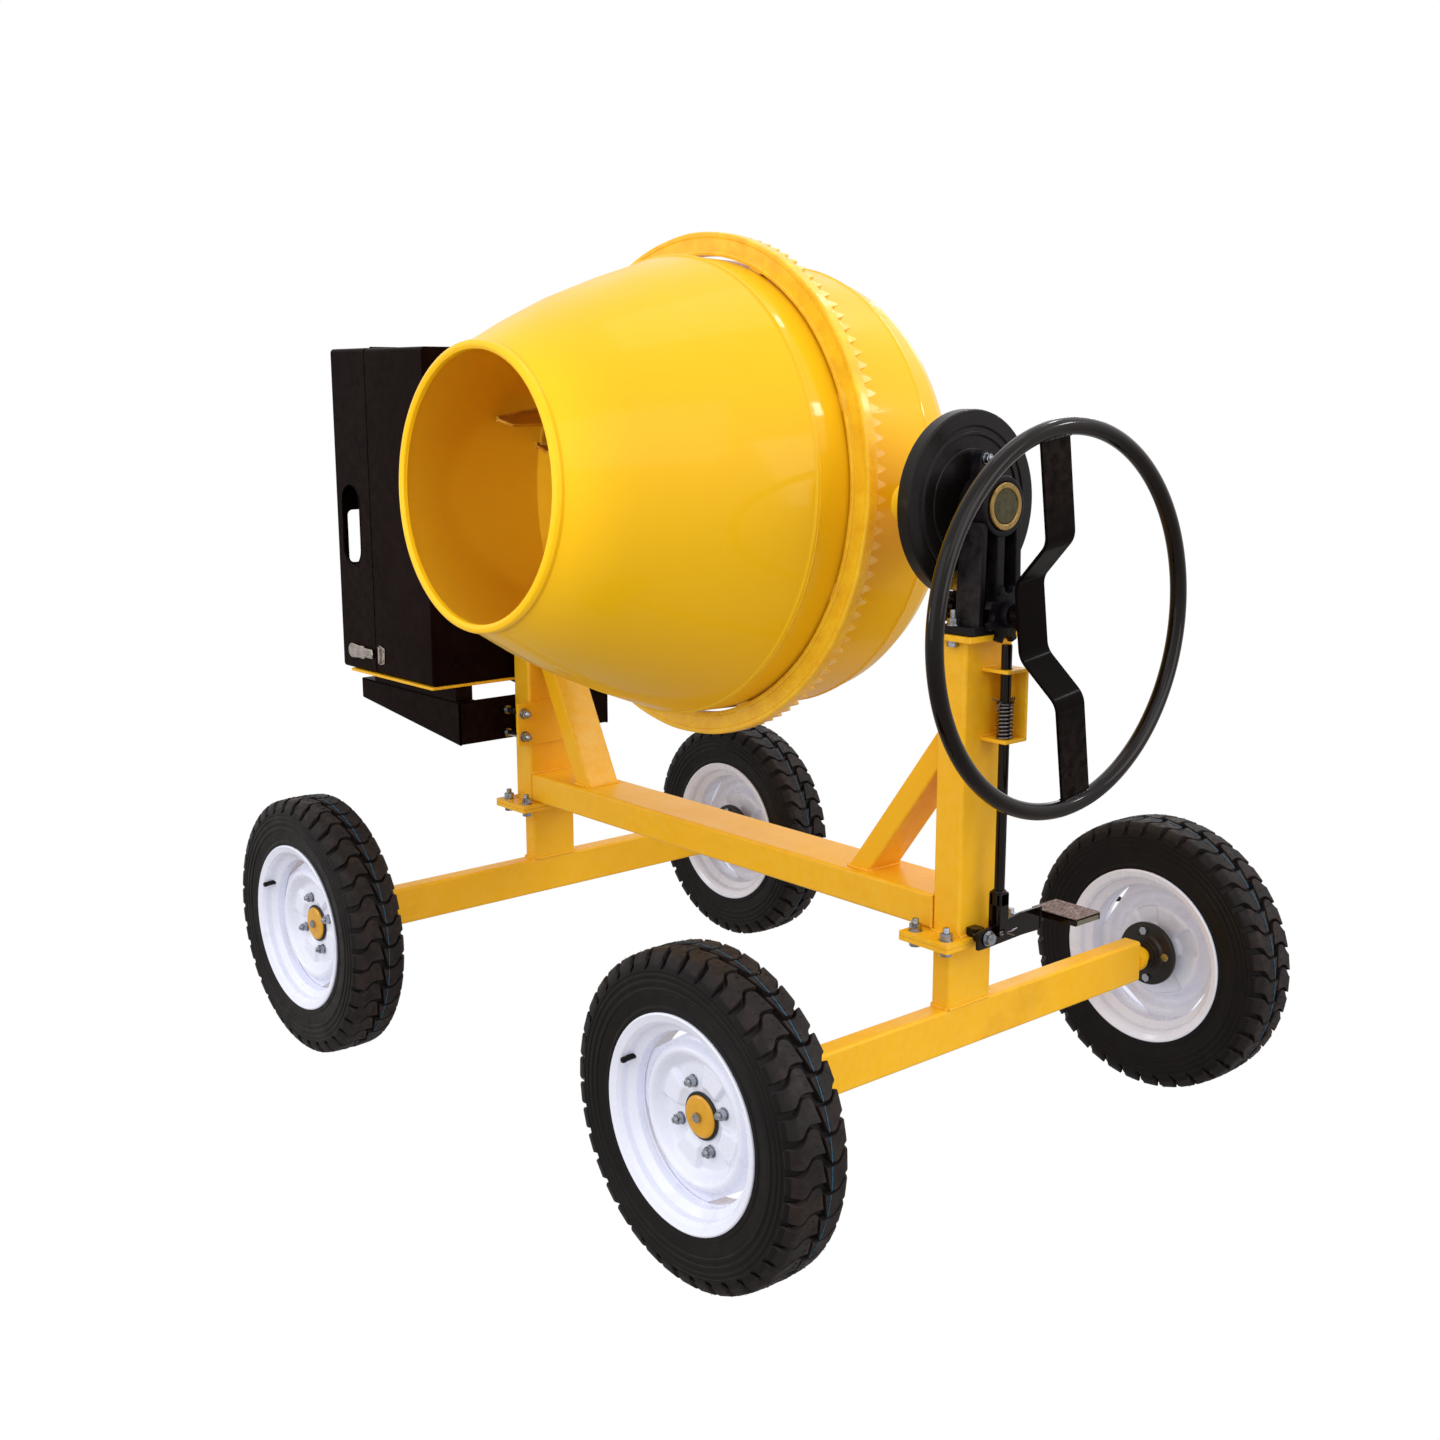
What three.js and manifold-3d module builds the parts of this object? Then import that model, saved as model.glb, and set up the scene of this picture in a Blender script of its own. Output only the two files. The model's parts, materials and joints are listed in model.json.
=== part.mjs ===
// Four-wheeled tilting concrete mixer. Millimetres, +Z up, drum mouth towards -Y, handwheel side +X, engine side -X.
import * as THREE from "three";
import { mergeVertices } from "three/addons/utils/BufferGeometryUtils.js";
import Module from "manifold-3d";
const wasm = await Module();
wasm.setup();

// ---------------------------------------------------------------- driving dimensions
const AXLE_X = 623; // half the axle spacing
const TRACK_Y = 585; // half the track, wheel centre planes
const TYRE_R = 267; // 4.00-12 tyre
const RIM_R = 172; // 12 inch rim, flange edge
const TUBE_AX = [40, 80]; // axle tube section, X by Z
const POST_X = 636; // post centre
const POST = [60, 120]; // post section, X by Y
const BEAM_Z = [445, 507];
const FLANGE_T = 8;
const POST_TOP = 952;
const AXIS_Z = 1170; // tilt (trunnion) axis height
const REST_TILT = 2.2; // degrees, mouth raised
const RING_N = 112, PIN_N = 14, GEAR_M = 8; // drum drive gears
const TILT_N = 56, TPIN_N = 14, TILT_M = 5; // tilt gears
const SHAFT_Z = AXIS_Z - (TILT_M * (TILT_N + TPIN_N)) / 2; // handwheel shaft height
const HW_R = 306, HW_T = 14, HW_X = 818, HW_TURN = 8.4;
const BOX = { x0: -1079, x1: -681, seam: -926, y: 260, z0: 718, z1: 1446, t: 3 };
const TRAY = { x0: -1101, x1: -667, y: 204, z1: 680, hIn: 97, hOut: 46 };
const GAP = 0.3;
const SHIFT_X = 105.5; // puts the origin under the middle of the bounding box

// ---------------------------------------------------------------- helpers
const D = Math.PI / 180;
// A closed solid made from a three.js geometry. Manifold only joins and cuts it; three.js shapes and moves it.
class Solid {
  constructor(man) {
    this.man = man;
  }
  static from(geometry) {
    let g = geometry.index ? geometry.toNonIndexed() : geometry;
    g = new THREE.BufferGeometry().setAttribute("position", g.getAttribute("position"));
    g = mergeVertices(g, 1e-4);
    const p = g.getAttribute("position").array, t = [];
    const idx = g.index.array;
    let vol = 0;
    for (let i = 0; i < idx.length; i += 3) {
      const [a, b, c] = [idx[i], idx[i + 1], idx[i + 2]];
      if (a === b || b === c || a === c) continue;
      t.push(a, b, c);
      const [ax, ay, az, bx, by, bz, cx, cy, cz] = [a, b, c].flatMap((k) => [p[3 * k], p[3 * k + 1], p[3 * k + 2]]);
      vol += ax * (by * cz - bz * cy) + ay * (bz * cx - bx * cz) + az * (bx * cy - by * cx);
    }
    if (vol < 0) for (let i = 0; i < t.length; i += 3) [t[i + 1], t[i + 2]] = [t[i + 2], t[i + 1]];
    return new Solid(new wasm.Manifold(new wasm.Mesh({ numProp: 3, vertProperties: new Float32Array(p), triVerts: new Uint32Array(t) })));
  }
  geometry() {
    const mesh = this.man.getMesh(), np = mesh.numProp, vp = mesh.vertProperties;
    const pos = new Float32Array((vp.length / np) * 3);
    for (let i = 0; i < vp.length / np; i++) for (let k = 0; k < 3; k++) pos[3 * i + k] = vp[np * i + k];
    const g = new THREE.BufferGeometry();
    g.setAttribute("position", new THREE.BufferAttribute(pos, 3));
    g.setIndex(new THREE.BufferAttribute(new Uint32Array(mesh.triVerts), 1));
    return g;
  }
  static union(list) { return new Solid(wasm.Manifold.union(list.map((o) => o.man))); }
  add(o) { return new Solid(this.man.add(o.man)); }
  subtract(o) { return new Solid(this.man.subtract(o.man)); }
  intersect(o) { return new Solid(this.man.intersect(o.man)); }
  moved(matrix) { return Solid.from(this.geometry().applyMatrix4(matrix)); }
  translate([x, y, z]) { return this.moved(new THREE.Matrix4().makeTranslation(x, y, z)); }
  rotate([x, y, z]) { return this.moved(new THREE.Matrix4().makeRotationFromEuler(new THREE.Euler(x * D, y * D, z * D, "ZYX"))); }
  mirrorX() { return this.moved(new THREE.Matrix4().makeScale(-1, 1, 1)); }
  mirrorY() { return this.moved(new THREE.Matrix4().makeScale(1, -1, 1)); }
}
const box = (x0, x1, y0, y1, z0, z1) =>
  Solid.from(new THREE.BoxGeometry(x1 - x0, y1 - y0, z1 - z0).translate((x0 + x1) / 2, (y0 + y1) / 2, (z0 + z1) / 2));
// three.js shapes its cylinders and lathes round Y; this turns Y onto the wanted axis, through the two other coordinates c
function onAxis(g, ax, c) {
  if (ax === "x") return g.rotateZ(-90 * D).translate(0, c[0], c[1]);
  if (ax === "y") return g.translate(c[0], 0, c[1]);
  return g.rotateX(90 * D).translate(c[0], c[1], 0);
}
// cylinder along an axis from a0 to a1, centred on the two other coordinates
const cyl = (ax, a0, a1, c, r, n = 24, r2 = r) =>
  Solid.from(onAxis(new THREE.CylinderGeometry(r2, r, a1 - a0, n).translate(0, (a0 + a1) / 2, 0), ax, c));
// closed profile of [radius, station] turned about an axis through c
const turn = (ax, prof, c, n = 32) =>
  Solid.from(onAxis(new THREE.LatheGeometry([...prof, prof[0]].map(([r, h]) => new THREE.Vector2(r, h)), n), ax, c));
// polygon in a plane, pushed along the plane's axis. x: (y,z); y: (x,z); z: (x,y)
function plate(ax, pts, a0, a1, hole) {
  const shape = new THREE.Shape(pts.map(([u, v]) => new THREE.Vector2(u, v)));
  if (hole) shape.holes.push(new THREE.Path(hole.map(([u, v]) => new THREE.Vector2(u, v))));
  const g = new THREE.ExtrudeGeometry(shape, { depth: a1 - a0, bevelEnabled: false });
  if (ax === "z") return Solid.from(g.translate(0, 0, a0));
  if (ax === "x") return Solid.from(g.applyMatrix4(new THREE.Matrix4().set(0, 0, 1, a0, 1, 0, 0, 0, 0, 1, 0, 0, 0, 0, 0, 1)));
  return Solid.from(g.applyMatrix4(new THREE.Matrix4().set(1, 0, 0, 0, 0, 0, -1, a1, 0, 1, 0, 0, 0, 0, 0, 1)));
}
const U = (...m) => m.reduce((a, b) => a.add(b));
const arc = (cx, cy, r, a0, a1, n) =>
  Array.from({ length: n + 1 }, (_, i) => {
    const a = (a0 + ((a1 - a0) * i) / n) * D;
    return [cx + r * Math.cos(a), cy + r * Math.sin(a)];
  });
const mirX = (m) => m.mirrorX();

const root = new THREE.Group();
root.name = "concrete_mixer";
root.position.x = SHIFT_X;
// a group placed by position and rotation; parts inside it are drawn about their own centre
function group(parent, [x, y, z], [rx, ry, rz] = [0, 0, 0]) {
  const g = new THREE.Group();
  g.position.set(x, y, z);
  g.rotation.set(rx * D, ry * D, rz * D);
  parent.add(g);
  return g;
}
const frame = group(root, [0, 0, 0]);
// everything that tips with the yoke: drawn level about the axis, then tipped to its rest angle
const tilted = group(group(root, [0, 0, AXIS_Z], [-REST_TILT, 0, 0]), [0, 0, -AXIS_Z]);
const hand = group(root, [0, 0, SHAFT_Z]); // everything that turns with the handwheel, drawn about its shaft
const paint = { color: 0xf7b50c, roughness: 0.35, metalness: 0.0 };
const black = { color: 0x17110f, roughness: 0.45, metalness: 0.1 };
const steel = { color: 0xb9bcc0, roughness: 0.3, metalness: 0.9 };
const cast = { color: 0x1b1614, roughness: 0.7, metalness: 0.3 };
const rubber = { color: 0x15110f, roughness: 0.85, metalness: 0.0 };
const white = { color: 0xe6e8f2, roughness: 0.3, metalness: 0.0 };
const brass = { color: 0xb89a55, roughness: 0.35, metalness: 0.8 };
function add(name, solid, mat, parent = frame) {
  const g = solid.geometry();
  g.computeVertexNormals();
  const m = new THREE.Mesh(g, new THREE.MeshStandardMaterial(mat));
  m.name = name;
  parent.add(m);
  return m;
}

// ---------------------------------------------------------------- frame
const px0 = POST_X - POST[0] / 2, px1 = POST_X + POST[0] / 2; // 606..666
function rectTubeZ(x0, x1, y0, y1, z0, z1, t) {
  return box(x0, x1, y0, y1, z0, z1).subtract(box(x0 + t, x1 - t, y0 + t, y1 - t, z0 - 1, z1 + 1));
}
add("main_beam",
  box(-px0 + GAP, px0 - GAP, -60, 60, BEAM_Z[0], BEAM_Z[1]).subtract(
    box(-700, 700, -56, 56, BEAM_Z[0] + 4, BEAM_Z[1] - 4)), paint);
const seat = (x1) => box(612, x1, -78, 78, POST_TOP, POST_TOP + 10);
add("post_right", rectTubeZ(px0, px1, -60, 60, BEAM_Z[0], POST_TOP + 1, 4).add(seat(690)), paint);
add("post_left", mirX(rectTubeZ(px0, px1, -60, 60, BEAM_Z[0], POST_TOP + 1, 4).add(seat(678))), paint);
// braces: foot on the beam between xf0 (drum side) and xf1, rising to the post face
function brace(xf0, xf1, deg) {
  const s = Math.tan(deg * D), X = px0 - GAP, zb = BEAM_Z[1] + GAP;
  const P = [[xf0, zb], [xf1, zb], [X, zb + (X - xf1) * s], [X, zb + (X - xf0) * s]];
  const t = 4 / Math.sin(deg * D), dz = 0;
  const I = [[xf0 + t, zb - 20], [xf1 - t, zb - 20], [X + 20, zb - 20 + (X + 20 - (xf1 - t)) * s], [X + 20, zb - 20 + (X + 20 - (xf0 + t)) * s]];
  const sh = 20 / s; // the inner core runs on past both ends
  const J = I.map(([x, z]) => [x, z]);
  J[0][0] -= sh; J[1][0] -= sh;
  J[2][1] = zb + (X + 20 - (xf1 - t)) * s;
  J[3][1] = zb + (X + 20 - (xf0 + t)) * s;
  return plate("y", P, -40, 40).subtract(plate("y", J, -36, 36));
}
add("brace_right", brace(382, 434, 53.5), paint);
add("brace_left", mirX(brace(411, 462, 62.5)), paint);
const fl = (z0, z1, holes = true) => {
  let m = box(570, 682, -106, 106, z0, z1);
  for (const [x, y] of FB) m = m.subtract(cyl("z", z0 - 1, z1 + 1, [x, y], 8, 8));
  return m;
};
const FB = [[590, -84], [660, -84], [590, 84], [660, 84]];
const fz = BEAM_Z[0] - GAP;
add("flange_upper_right", fl(fz - FLANGE_T, fz), paint);
add("flange_upper_left", mirX(fl(fz - FLANGE_T, fz)), paint);

// ---------------------------------------------------------------- axles, each a welded tube, stub and lower flange
const az0 = TYRE_R - TUBE_AX[1] / 2, az1 = TYRE_R + TUBE_AX[1] / 2, ah = TUBE_AX[0] / 2;
const f2 = fz - FLANGE_T - GAP; // top of the lower flange
const stub = U(
  box(AXLE_X - ah, AXLE_X + ah, -55, 55, az1 + GAP, f2 - FLANGE_T + 1).subtract(
    box(AXLE_X - ah + 4, AXLE_X + ah - 4, -51, 51, az1 - 5, f2 - FLANGE_T)),
  fl(f2 - FLANGE_T, f2));
add("stub_right", stub, paint);
add("stub_left", mirX(stub), paint);
function axle(sx) {
  const x = sx * AXLE_X;
  const tube = box(x - ah, x + ah, -500, 500, az0, az1).subtract(box(x - ah + 4, x + ah - 4, -494, 494, az0 + 4, az1 - 4));
  return tube;
}
// the inside of the tube is closed by its end plates, so it opens through four small drain holes
const drain = (x) => U(cyl("z", az0 - 2, az0 + 8, [x, -300], 6, 8), cyl("z", az0 - 2, az0 + 8, [x, 300], 6, 8));
add("axle_right", axle(1).subtract(drain(AXLE_X)), paint);
add("axle_left", axle(-1).subtract(drain(-AXLE_X)), paint);
const spindle = (sx, sy) => {
  const c = [sx * AXLE_X, TYRE_R];
  const m = U(cyl("y", 500 + GAP, 520, c, 26, 16), cyl("y", 518, 600, c, 15, 20), cyl("y", 599, 606, c, 19, 6));
  return sy > 0 ? m : m.mirrorY();
};

// ---------------------------------------------------------------- wheels
// each profile is drawn about the wheel's own centre, outside face towards +Y
const tyreProf = [[164, -49.5], [222, -55], [254, -50], [TYRE_R, -34], [TYRE_R, 34], [254, 50], [222, 55], [164, 49.5],
  [164, 43], [222, 49], [250, 0], [222, -49], [164, -43]];
const rimProf = [[RIM_R, -57], [154, -54], [138, -20], [138, 20], [154, 54], [RIM_R, 57], [158.5, 50.5], [142, 20], [142, -20], [158.5, -50.5]];
const discProf = [[34, 4], [74, 4], [104, 22], [140, 9], [140, 14], [104, 27], [72, 8], [34, 8]];
const hubProf = [[15.4, -48], [42, -46], [62, -36], [62, -26], [32, -24], [32, 3.6], [15.4, 3.6]];
for (const [tag, sx, sy] of [["front_right", 1, -1], ["back_right", 1, 1], ["front_left", -1, -1], ["back_left", -1, 1]]) {
  add("spindle_" + tag, spindle(sx, sy), steel);
  const wheel = group(frame, [sx * AXLE_X, sy * TRACK_Y, TYRE_R], [0, 0, sy > 0 ? 0 : 180]);
  // disc with four flats, so a window stays open at each flat
  const disc = turn("y", discProf, [0, 0], 14).intersect(box(-125, 125, -60, 60, -125, 125)).rotate([0, sy > 0 ? 32 : -32, 0]);
  add("tyre_" + tag, turn("y", tyreProf, [0, 0], 20), rubber, wheel);
  add("rim_" + tag, turn("y", rimProf, [0, 0], 14).add(disc), white, wheel);
  add("hub_" + tag, turn("y", hubProf, [0, 0], 16), black, wheel);
}

// ---------------------------------------------------------------- tilt side (+X): pedestal, guard, gears, handwheel
function pedestal(shaft) {
  const xe = shaft ? 688 : 677;
  let m = U(
    box(616, xe, -72, 72, POST_TOP + 10 + GAP, 978),
    plate("x", [[-50, 976], [50, 976], [44, 1150], [-44, 1150]], 648, 660),
    plate("x", [[-54, 976], [-40, 976], [-34, 1150], [-48, 1150]], 634, xe - 4),
    plate("x", [[54, 976], [40, 976], [34, 1150], [48, 1150]], 634, xe - 4),
    cyl("x", 632, xe, [0, AXIS_Z], 50, 24));
  if (shaft) m = m.add(cyl("x", 634, 684, [0, SHAFT_Z], 26, 20)).add(box(634, 684, -20, 20, 976, SHAFT_Z - 10));
  m = m.subtract(cyl("x", 600, 700, [0, AXIS_Z], 39.4, 24));
  if (shaft) m = m.subtract(cyl("x", 600, 700, [0, SHAFT_Z], 14.5, 24));
  return m;
}
const lug = plate("x", [[-13, 1205], [13, 1205], ...arc(0, 1246, 13, 0, 180, 6)], 624, 646);
const lugCut = cyl("x", 600, 700, [0, AXIS_Z], 45, 24);
add("pedestal_right", pedestal(true).add(lug.subtract(lugCut)), cast);
add("pedestal_left", mirX(pedestal(false)), cast);
add("bushing_right", cyl("x", 640, 692, [0, AXIS_Z], 39, 24).subtract(cyl("x", 600, 700, [0, AXIS_Z], 28.9, 24)), brass);
add("bushing_left", mirX(cyl("x", 636, 679, [0, AXIS_Z], 39, 24).subtract(cyl("x", 600, 700, [0, AXIS_Z], 28.9, 24))), brass);
// guard over the tilt gear, open at the back and at the bottom where the pinion enters
const guardProf = [[155, 595], [155, 620], [112, 620], [108, 616], [32, 616], [32, 612], [111, 612], [114, 615], [151, 615], [151, 595]];
const guard = turn("x", guardProf, [0, AXIS_Z], 28)
  .subtract(box(590, 630, -52, 52, 900, AXIS_Z - 108))
  .add(box(615, 623.7, -12, 12, 1234, 1256));
add("tilt_gear_guard", guard, black);
function spur(m, n, phase, { tw = 0.5, add_ = 1, ded = 1.25, tipw = 0.42, rootw = 0.66 } = {}) {
  const r = (m * n) / 2, p = (2 * Math.PI) / n, pts = [];
  const ro = r + add_ * m, ri = r - ded * m;
  for (let i = 0; i < n; i++) {
    const a = i * p + phase * D;
    pts.push([ri * Math.cos(a - (p * rootw) / 2), ri * Math.sin(a - (p * rootw) / 2)]);
    pts.push([ro * Math.cos(a - (p * tipw * r) / ro / 2), ro * Math.sin(a - (p * tipw * r) / ro / 2)]);
    pts.push([ro * Math.cos(a + (p * tipw * r) / ro / 2), ro * Math.sin(a + (p * tipw * r) / ro / 2)]);
    pts.push([ri * Math.cos(a + (p * rootw) / 2), ri * Math.sin(a + (p * rootw) / 2)]);
  }
  return pts;
}
// gears lie in the plane across X: the outline's first coordinate goes to Y, its second to Z
const spurX = (m, n, x0, x1, c, bore, phase, o) =>
  plate("x", spur(m, n, phase, o), x0, x1, bore ? arc(0, 0, bore, 0, 345, 23) : undefined).translate([0, c[0], c[1]]);
// a gear tooth points straight down at the pinion, whose gap points straight up
add("tilt_gear", spurX(TILT_M, TILT_N, 589, 606, [0, AXIS_Z], 28.9, -90 + REST_TILT, { tipw: 0.2, rootw: 0.6, ded: 1.3, add_: 0.9 }), paint, tilted);
const tpin = spurX(TILT_M, TPIN_N, 590, 605, [0, 0], 0, 90 + 180 / TPIN_N, { tipw: 0.16, rootw: 0.58, ded: 1.3, add_: 0.9 });
add("tilt_shaft", U(tpin, cyl("x", 604, 744, [0, 0], 14, 24), cyl("x", 688.3, 690.7, [0, 0], 19, 16)), steel, hand);
// notched locking disc
function lockDisc() {
  let m = cyl("x", 691, 703, [0, 0], 48, 32).subtract(cyl("x", 680, 720, [0, 0], 14.3, 24));
  for (let k = 0; k < 8; k++) {
    const a = (-90 + 45 * k) * D;
    m = m.subtract(cyl("x", 680, 720, [46 * Math.cos(a), 46 * Math.sin(a)], 11.5, 12));
  }
  return m;
}
add("lock_disc", lockDisc(), cast, hand);
// handwheel: round ring and one cranked flat bar with a hub, drawn in the ring's own plane
function handwheel() {
  const ring = turn("x", arc(HW_R, 0, HW_T, 0, 300, 5), [0, 0], 32);
  const b = 3, mid = 750 - HW_X;
  const side = [[mid - b, -62], [mid - b, 62], [-b, 130], [-b, 303], [b, 303], [b, 130], [mid + b, 60], [mid + b, -60], [b, -130], [b, -303], [-b, -303], [-b, -130]];
  const bar = plate("y", side, -35, 35);
  const hub = cyl("x", mid - 24, mid + b, [0, 0], 24, 20).subtract(cyl("x", mid - 30, mid - 5, [0, 0], 14.3, 24));
  return ring.add(bar).add(hub);
}
add("handwheel", handwheel(), black, group(hand, [HW_X, 0, 0], [HW_TURN, 0, 0]));

// ---------------------------------------------------------------- foot lock: pedal, rod, spring, bracket
const PED = { y: -30, z: 448, x0: 699, x1: 705 };
add("pedal", U(
  plate("x", [[-54, 430], [-54, 462], [60, 475], [120, 475], [120, 432], [60, 434], [-30, 430]], PED.x0, PED.x1)
    .subtract(cyl("x", 690, 712, [PED.y, PED.z], 8.4, 16)).subtract(cyl("x", 690, 712, [0, 455], 6, 12)),
  box(684, 780, 110, 178, 464, 470),
  box(684, 780, 110, 116, 456, 466),
  box(684, 780, 172, 178, 456, 466),
  box(774, 780, 110, 178, 456, 466),
), black);
add("pedal_pivot", U(box(px1 + GAP, 690, PED.y - 12, PED.y + 12, 446, 461), cyl("x", 682 + GAP, 698.4, [PED.y, PED.z], 13, 16), cyl("x", 690, 716, [PED.y, PED.z], 8, 16), cyl("x", 706, 716, [PED.y, PED.z], 14, 6)), steel);
const RODX = 702, RODY = 0, ROD_TOP = 945;
add("lock_rod", U(
  cyl("z", 520, ROD_TOP, [RODX, RODY], 9, 14),
  box(RODX - 13, RODX - 4.2, RODY - 11, RODY + 11, 445, 522),
  box(RODX + 4.2, RODX + 13, RODY - 11, RODY + 11, 445, 522),
  cyl("x", RODX - 13, RODX + 17, [RODY, 455], 4.5, 12),
  box(RODX - 13, RODX + 13, RODY - 11, RODY + 11, 500, 524),
  box(RODX - 2, RODX + 2, RODY - 24, RODY + 24, 850, 854),
), black);
function rodBracket() {
  let m = U(box(px1 + GAP, 722, -20, 34, 899, 905), box(px1 + GAP, 722, -20, 34, 782, 788), box(px1 + GAP, 722, 28, 34, 782, 905));
  return m.subtract(cyl("z", 700, 1000, [RODX, RODY], 10, 16));
}
add("rod_bracket", rodBracket(), paint);
add("lock_spring", cyl("z", 788.5, 849.5, [RODX, RODY], 15, 16).subtract(cyl("z", 700, 900, [RODX, RODY], 11, 16)), steel);

// ---------------------------------------------------------------- yoke and drum (built level, then tilted to rest)
function yoke() {
  const out = [[-545, -30], [-545, 124], [-428, 300], [-205, 404], [205, 404], [428, 300], [545, 124], [545, -30]];
  const inn = [[515, -30], [515, 114], [408, 274], [196, 372], [-196, 372], [-408, 274], [-515, 114], [-515, -30]];
  const bars = plate("z", [...out, ...inn], AXIS_Z - 35, AXIS_Z + 35);
  const nose = cyl("x", 566, 587, [-105, AXIS_Z], 35, 16).add(box(566, 587, -105, 0, AXIS_Z - 35, AXIS_Z + 35)), boss = cyl("x", 512, 588, [0, AXIS_Z], 48, 20);
  const trunnion = cyl("x", 545, 691, [0, AXIS_Z], 28.5, 24), house = cyl("y", 335, 412, [0, AXIS_Z], 62, 20);
  return U(bars, nose, mirX(nose), boss, mirX(boss), trunnion, mirX(trunnion), house)
    .subtract(cyl("y", 330, 420, [0, AXIS_Z], 26, 24))
    .subtract(cyl("x", -700, -505, [0, AXIS_Z], 18, 24));
}
add("yoke", yoke(), paint, tilted);
// drum shell: profile as [radius, station along the drum axis]
const outer = [[421, -159], [421, 121], [409, 168], [370, 225], [300, 274], [215, 304], [40, 318]];
const inner = [[40, 312], [214, 298], [297, 268.6], [365.4, 221], [403.2, 166], [415, 120.4], [415, -158]];
const shellProf = [[232, -566], [236, -577], [247, -577], [250, -566], [244, -560], ...outer, ...inner];
const shell = U(turn("y", shellProf, [0, AXIS_Z], 36), cyl("y", 311, 334, [0, AXIS_Z], 46, 20), cyl("y", 330, 428, [0, AXIS_Z], 25.4, 24), cyl("y", 412.4, 422, [0, AXIS_Z], 36, 6));
add("drum_shell", shell, paint, tilted);
// ring gear: L-section casting with teeth on its rear face
const PITCH_Y = -(GEAR_M * PIN_N) / 2; // -56
function ringGear() {
  const yr = PITCH_Y - 10, yt = PITCH_Y + 10; // root and tip planes
  const list = [turn("y", [[425.5, -93], [434, -93], [434, -88], [468, -90], [468, yr], [425.5, yr]], [0, 0], RING_N / 2)];
  const tooth = plate("z", [[-9.2, yr - 1.5], [9.2, yr - 1.5], [0, yt]], 430, 466);
  for (let i = 0; i < RING_N; i++) list.push(tooth.rotate([0, (360 / RING_N) * i, 0]));
  const pad = box(-14, 14, -76, -68.5, 421.4, 436);
  for (let k = 0; k < 8; k++) list.push(pad.rotate([0, 45 * k, 0]));
  return Solid.union(list).translate([0, 0, AXIS_Z]);
}
add("ring_gear", ringGear(), paint, tilted);
// three pairs of mixing blades on the inside wall, each pair one weldment: a cone plate, a plate on the straight wall, and the foot strip that joins them
function blade(k) {
  // a plate stands on the wall with its free edge towards the axis; [station along the drum axis, radius]
  const stand = (pts, a) => plate("x", pts.map(([y, r]) => [y, -r]), -3, 3).rotate([0, a, 0]);
  const cone = stand([[-313, 343.4], [-158, 412.9], [-140, 412.9], [-140, 322], [-226, 322], [-298, 312]], k + 10.5);
  const wall = stand([[-168, 408.4], [-158, 412.9], [110, 412.9], [155, 404], [150, 322], [-100, 322], [-188, 338]], k);
  const rim = (r, list) => list.map((t) => [-r * Math.sin((k + t) * D), -r * Math.cos((k + t) * D)]);
  const steps = [-0.4, 2.4, 5.2, 8.0, 10.9];
  const strip = plate("y", [...rim(412, steps), ...rim(405, [...steps].reverse())], -156, -142);
  return U(cone, wall, strip).translate([0, 0, AXIS_Z]);
}
add("blade_1", blade(99.5), paint, tilted);
add("blade_2", blade(219.5), paint, tilted);
add("blade_3", blade(339.5), paint, tilted);

// ---------------------------------------------------------------- drive: pinion shaft, pulleys, engine
const pinion = spurX(GEAR_M, PIN_N, -468, -430, [0, AXIS_Z], 0, 180 + 180 / PIN_N, { tipw: 0.16, rootw: 0.6, add_: 0.85, ded: 1.75 });
const pulleyX = [-824, -796];
add("pinion_shaft", U(pinion, cyl("x", -796 - 40, -469 + 20, [0, AXIS_Z], 15, 24)), steel, tilted);
const pulley = (r, x, c, bore, rim) =>
  turn("x", [[bore, x[0]], [bore + 16, x[0] + 9], [r - 16, x[0] + 9], [r, x[0]], [r - 9, x[0] + 9],
    [r - 9, x[1] - 9], [r, x[1]], [r - 16, x[1] - 9], [bore + 16, x[1] - 9], [bore, x[1]]], c, rim);
add("driven_pulley", pulley(190, pulleyX, [0, AXIS_Z], 15.4, 20), cast);
const MOT = { y: 0, z: 868 };
add("motor_pulley", pulley(60, pulleyX, [MOT.y, MOT.z], 12.6, 14), cast);
// belt: a loop lying in the grooves
function belt() {
  const r1 = 182.5, r2 = 52.5, h = AXIS_Z - MOT.z, t = 7, al = Math.asin((r1 - r2) / h) / D;
  const loop = (a, b) => [...arc(0, AXIS_Z, a, -al, 180 + al, 22), ...arc(0, MOT.z, b, 180 + al, 360 - al, 9)];
  return plate("x", loop(r1 + t, r2 + t), -814, -806).subtract(plate("x", loop(r1, r2), -820, -800));
}
add("drive_belt", belt(), rubber);
function engine() {
  const body = U(box(-776, -700, -110, 110, 780, 950), box(-786, -690, -90, 90, 735 - 8, 782), cyl("x", -778, -696, [0, MOT.z], 100, 24));
  return U(body, cyl("x", -790, -776, [0, MOT.z], 40, 20), box(-770, -706, 60, 128, 940, 1010));
}
add("engine", engine(), cast);
add("motor_shaft", cyl("x", -830, -790 - GAP, [MOT.y, MOT.z], 12, 24), steel);

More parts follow.
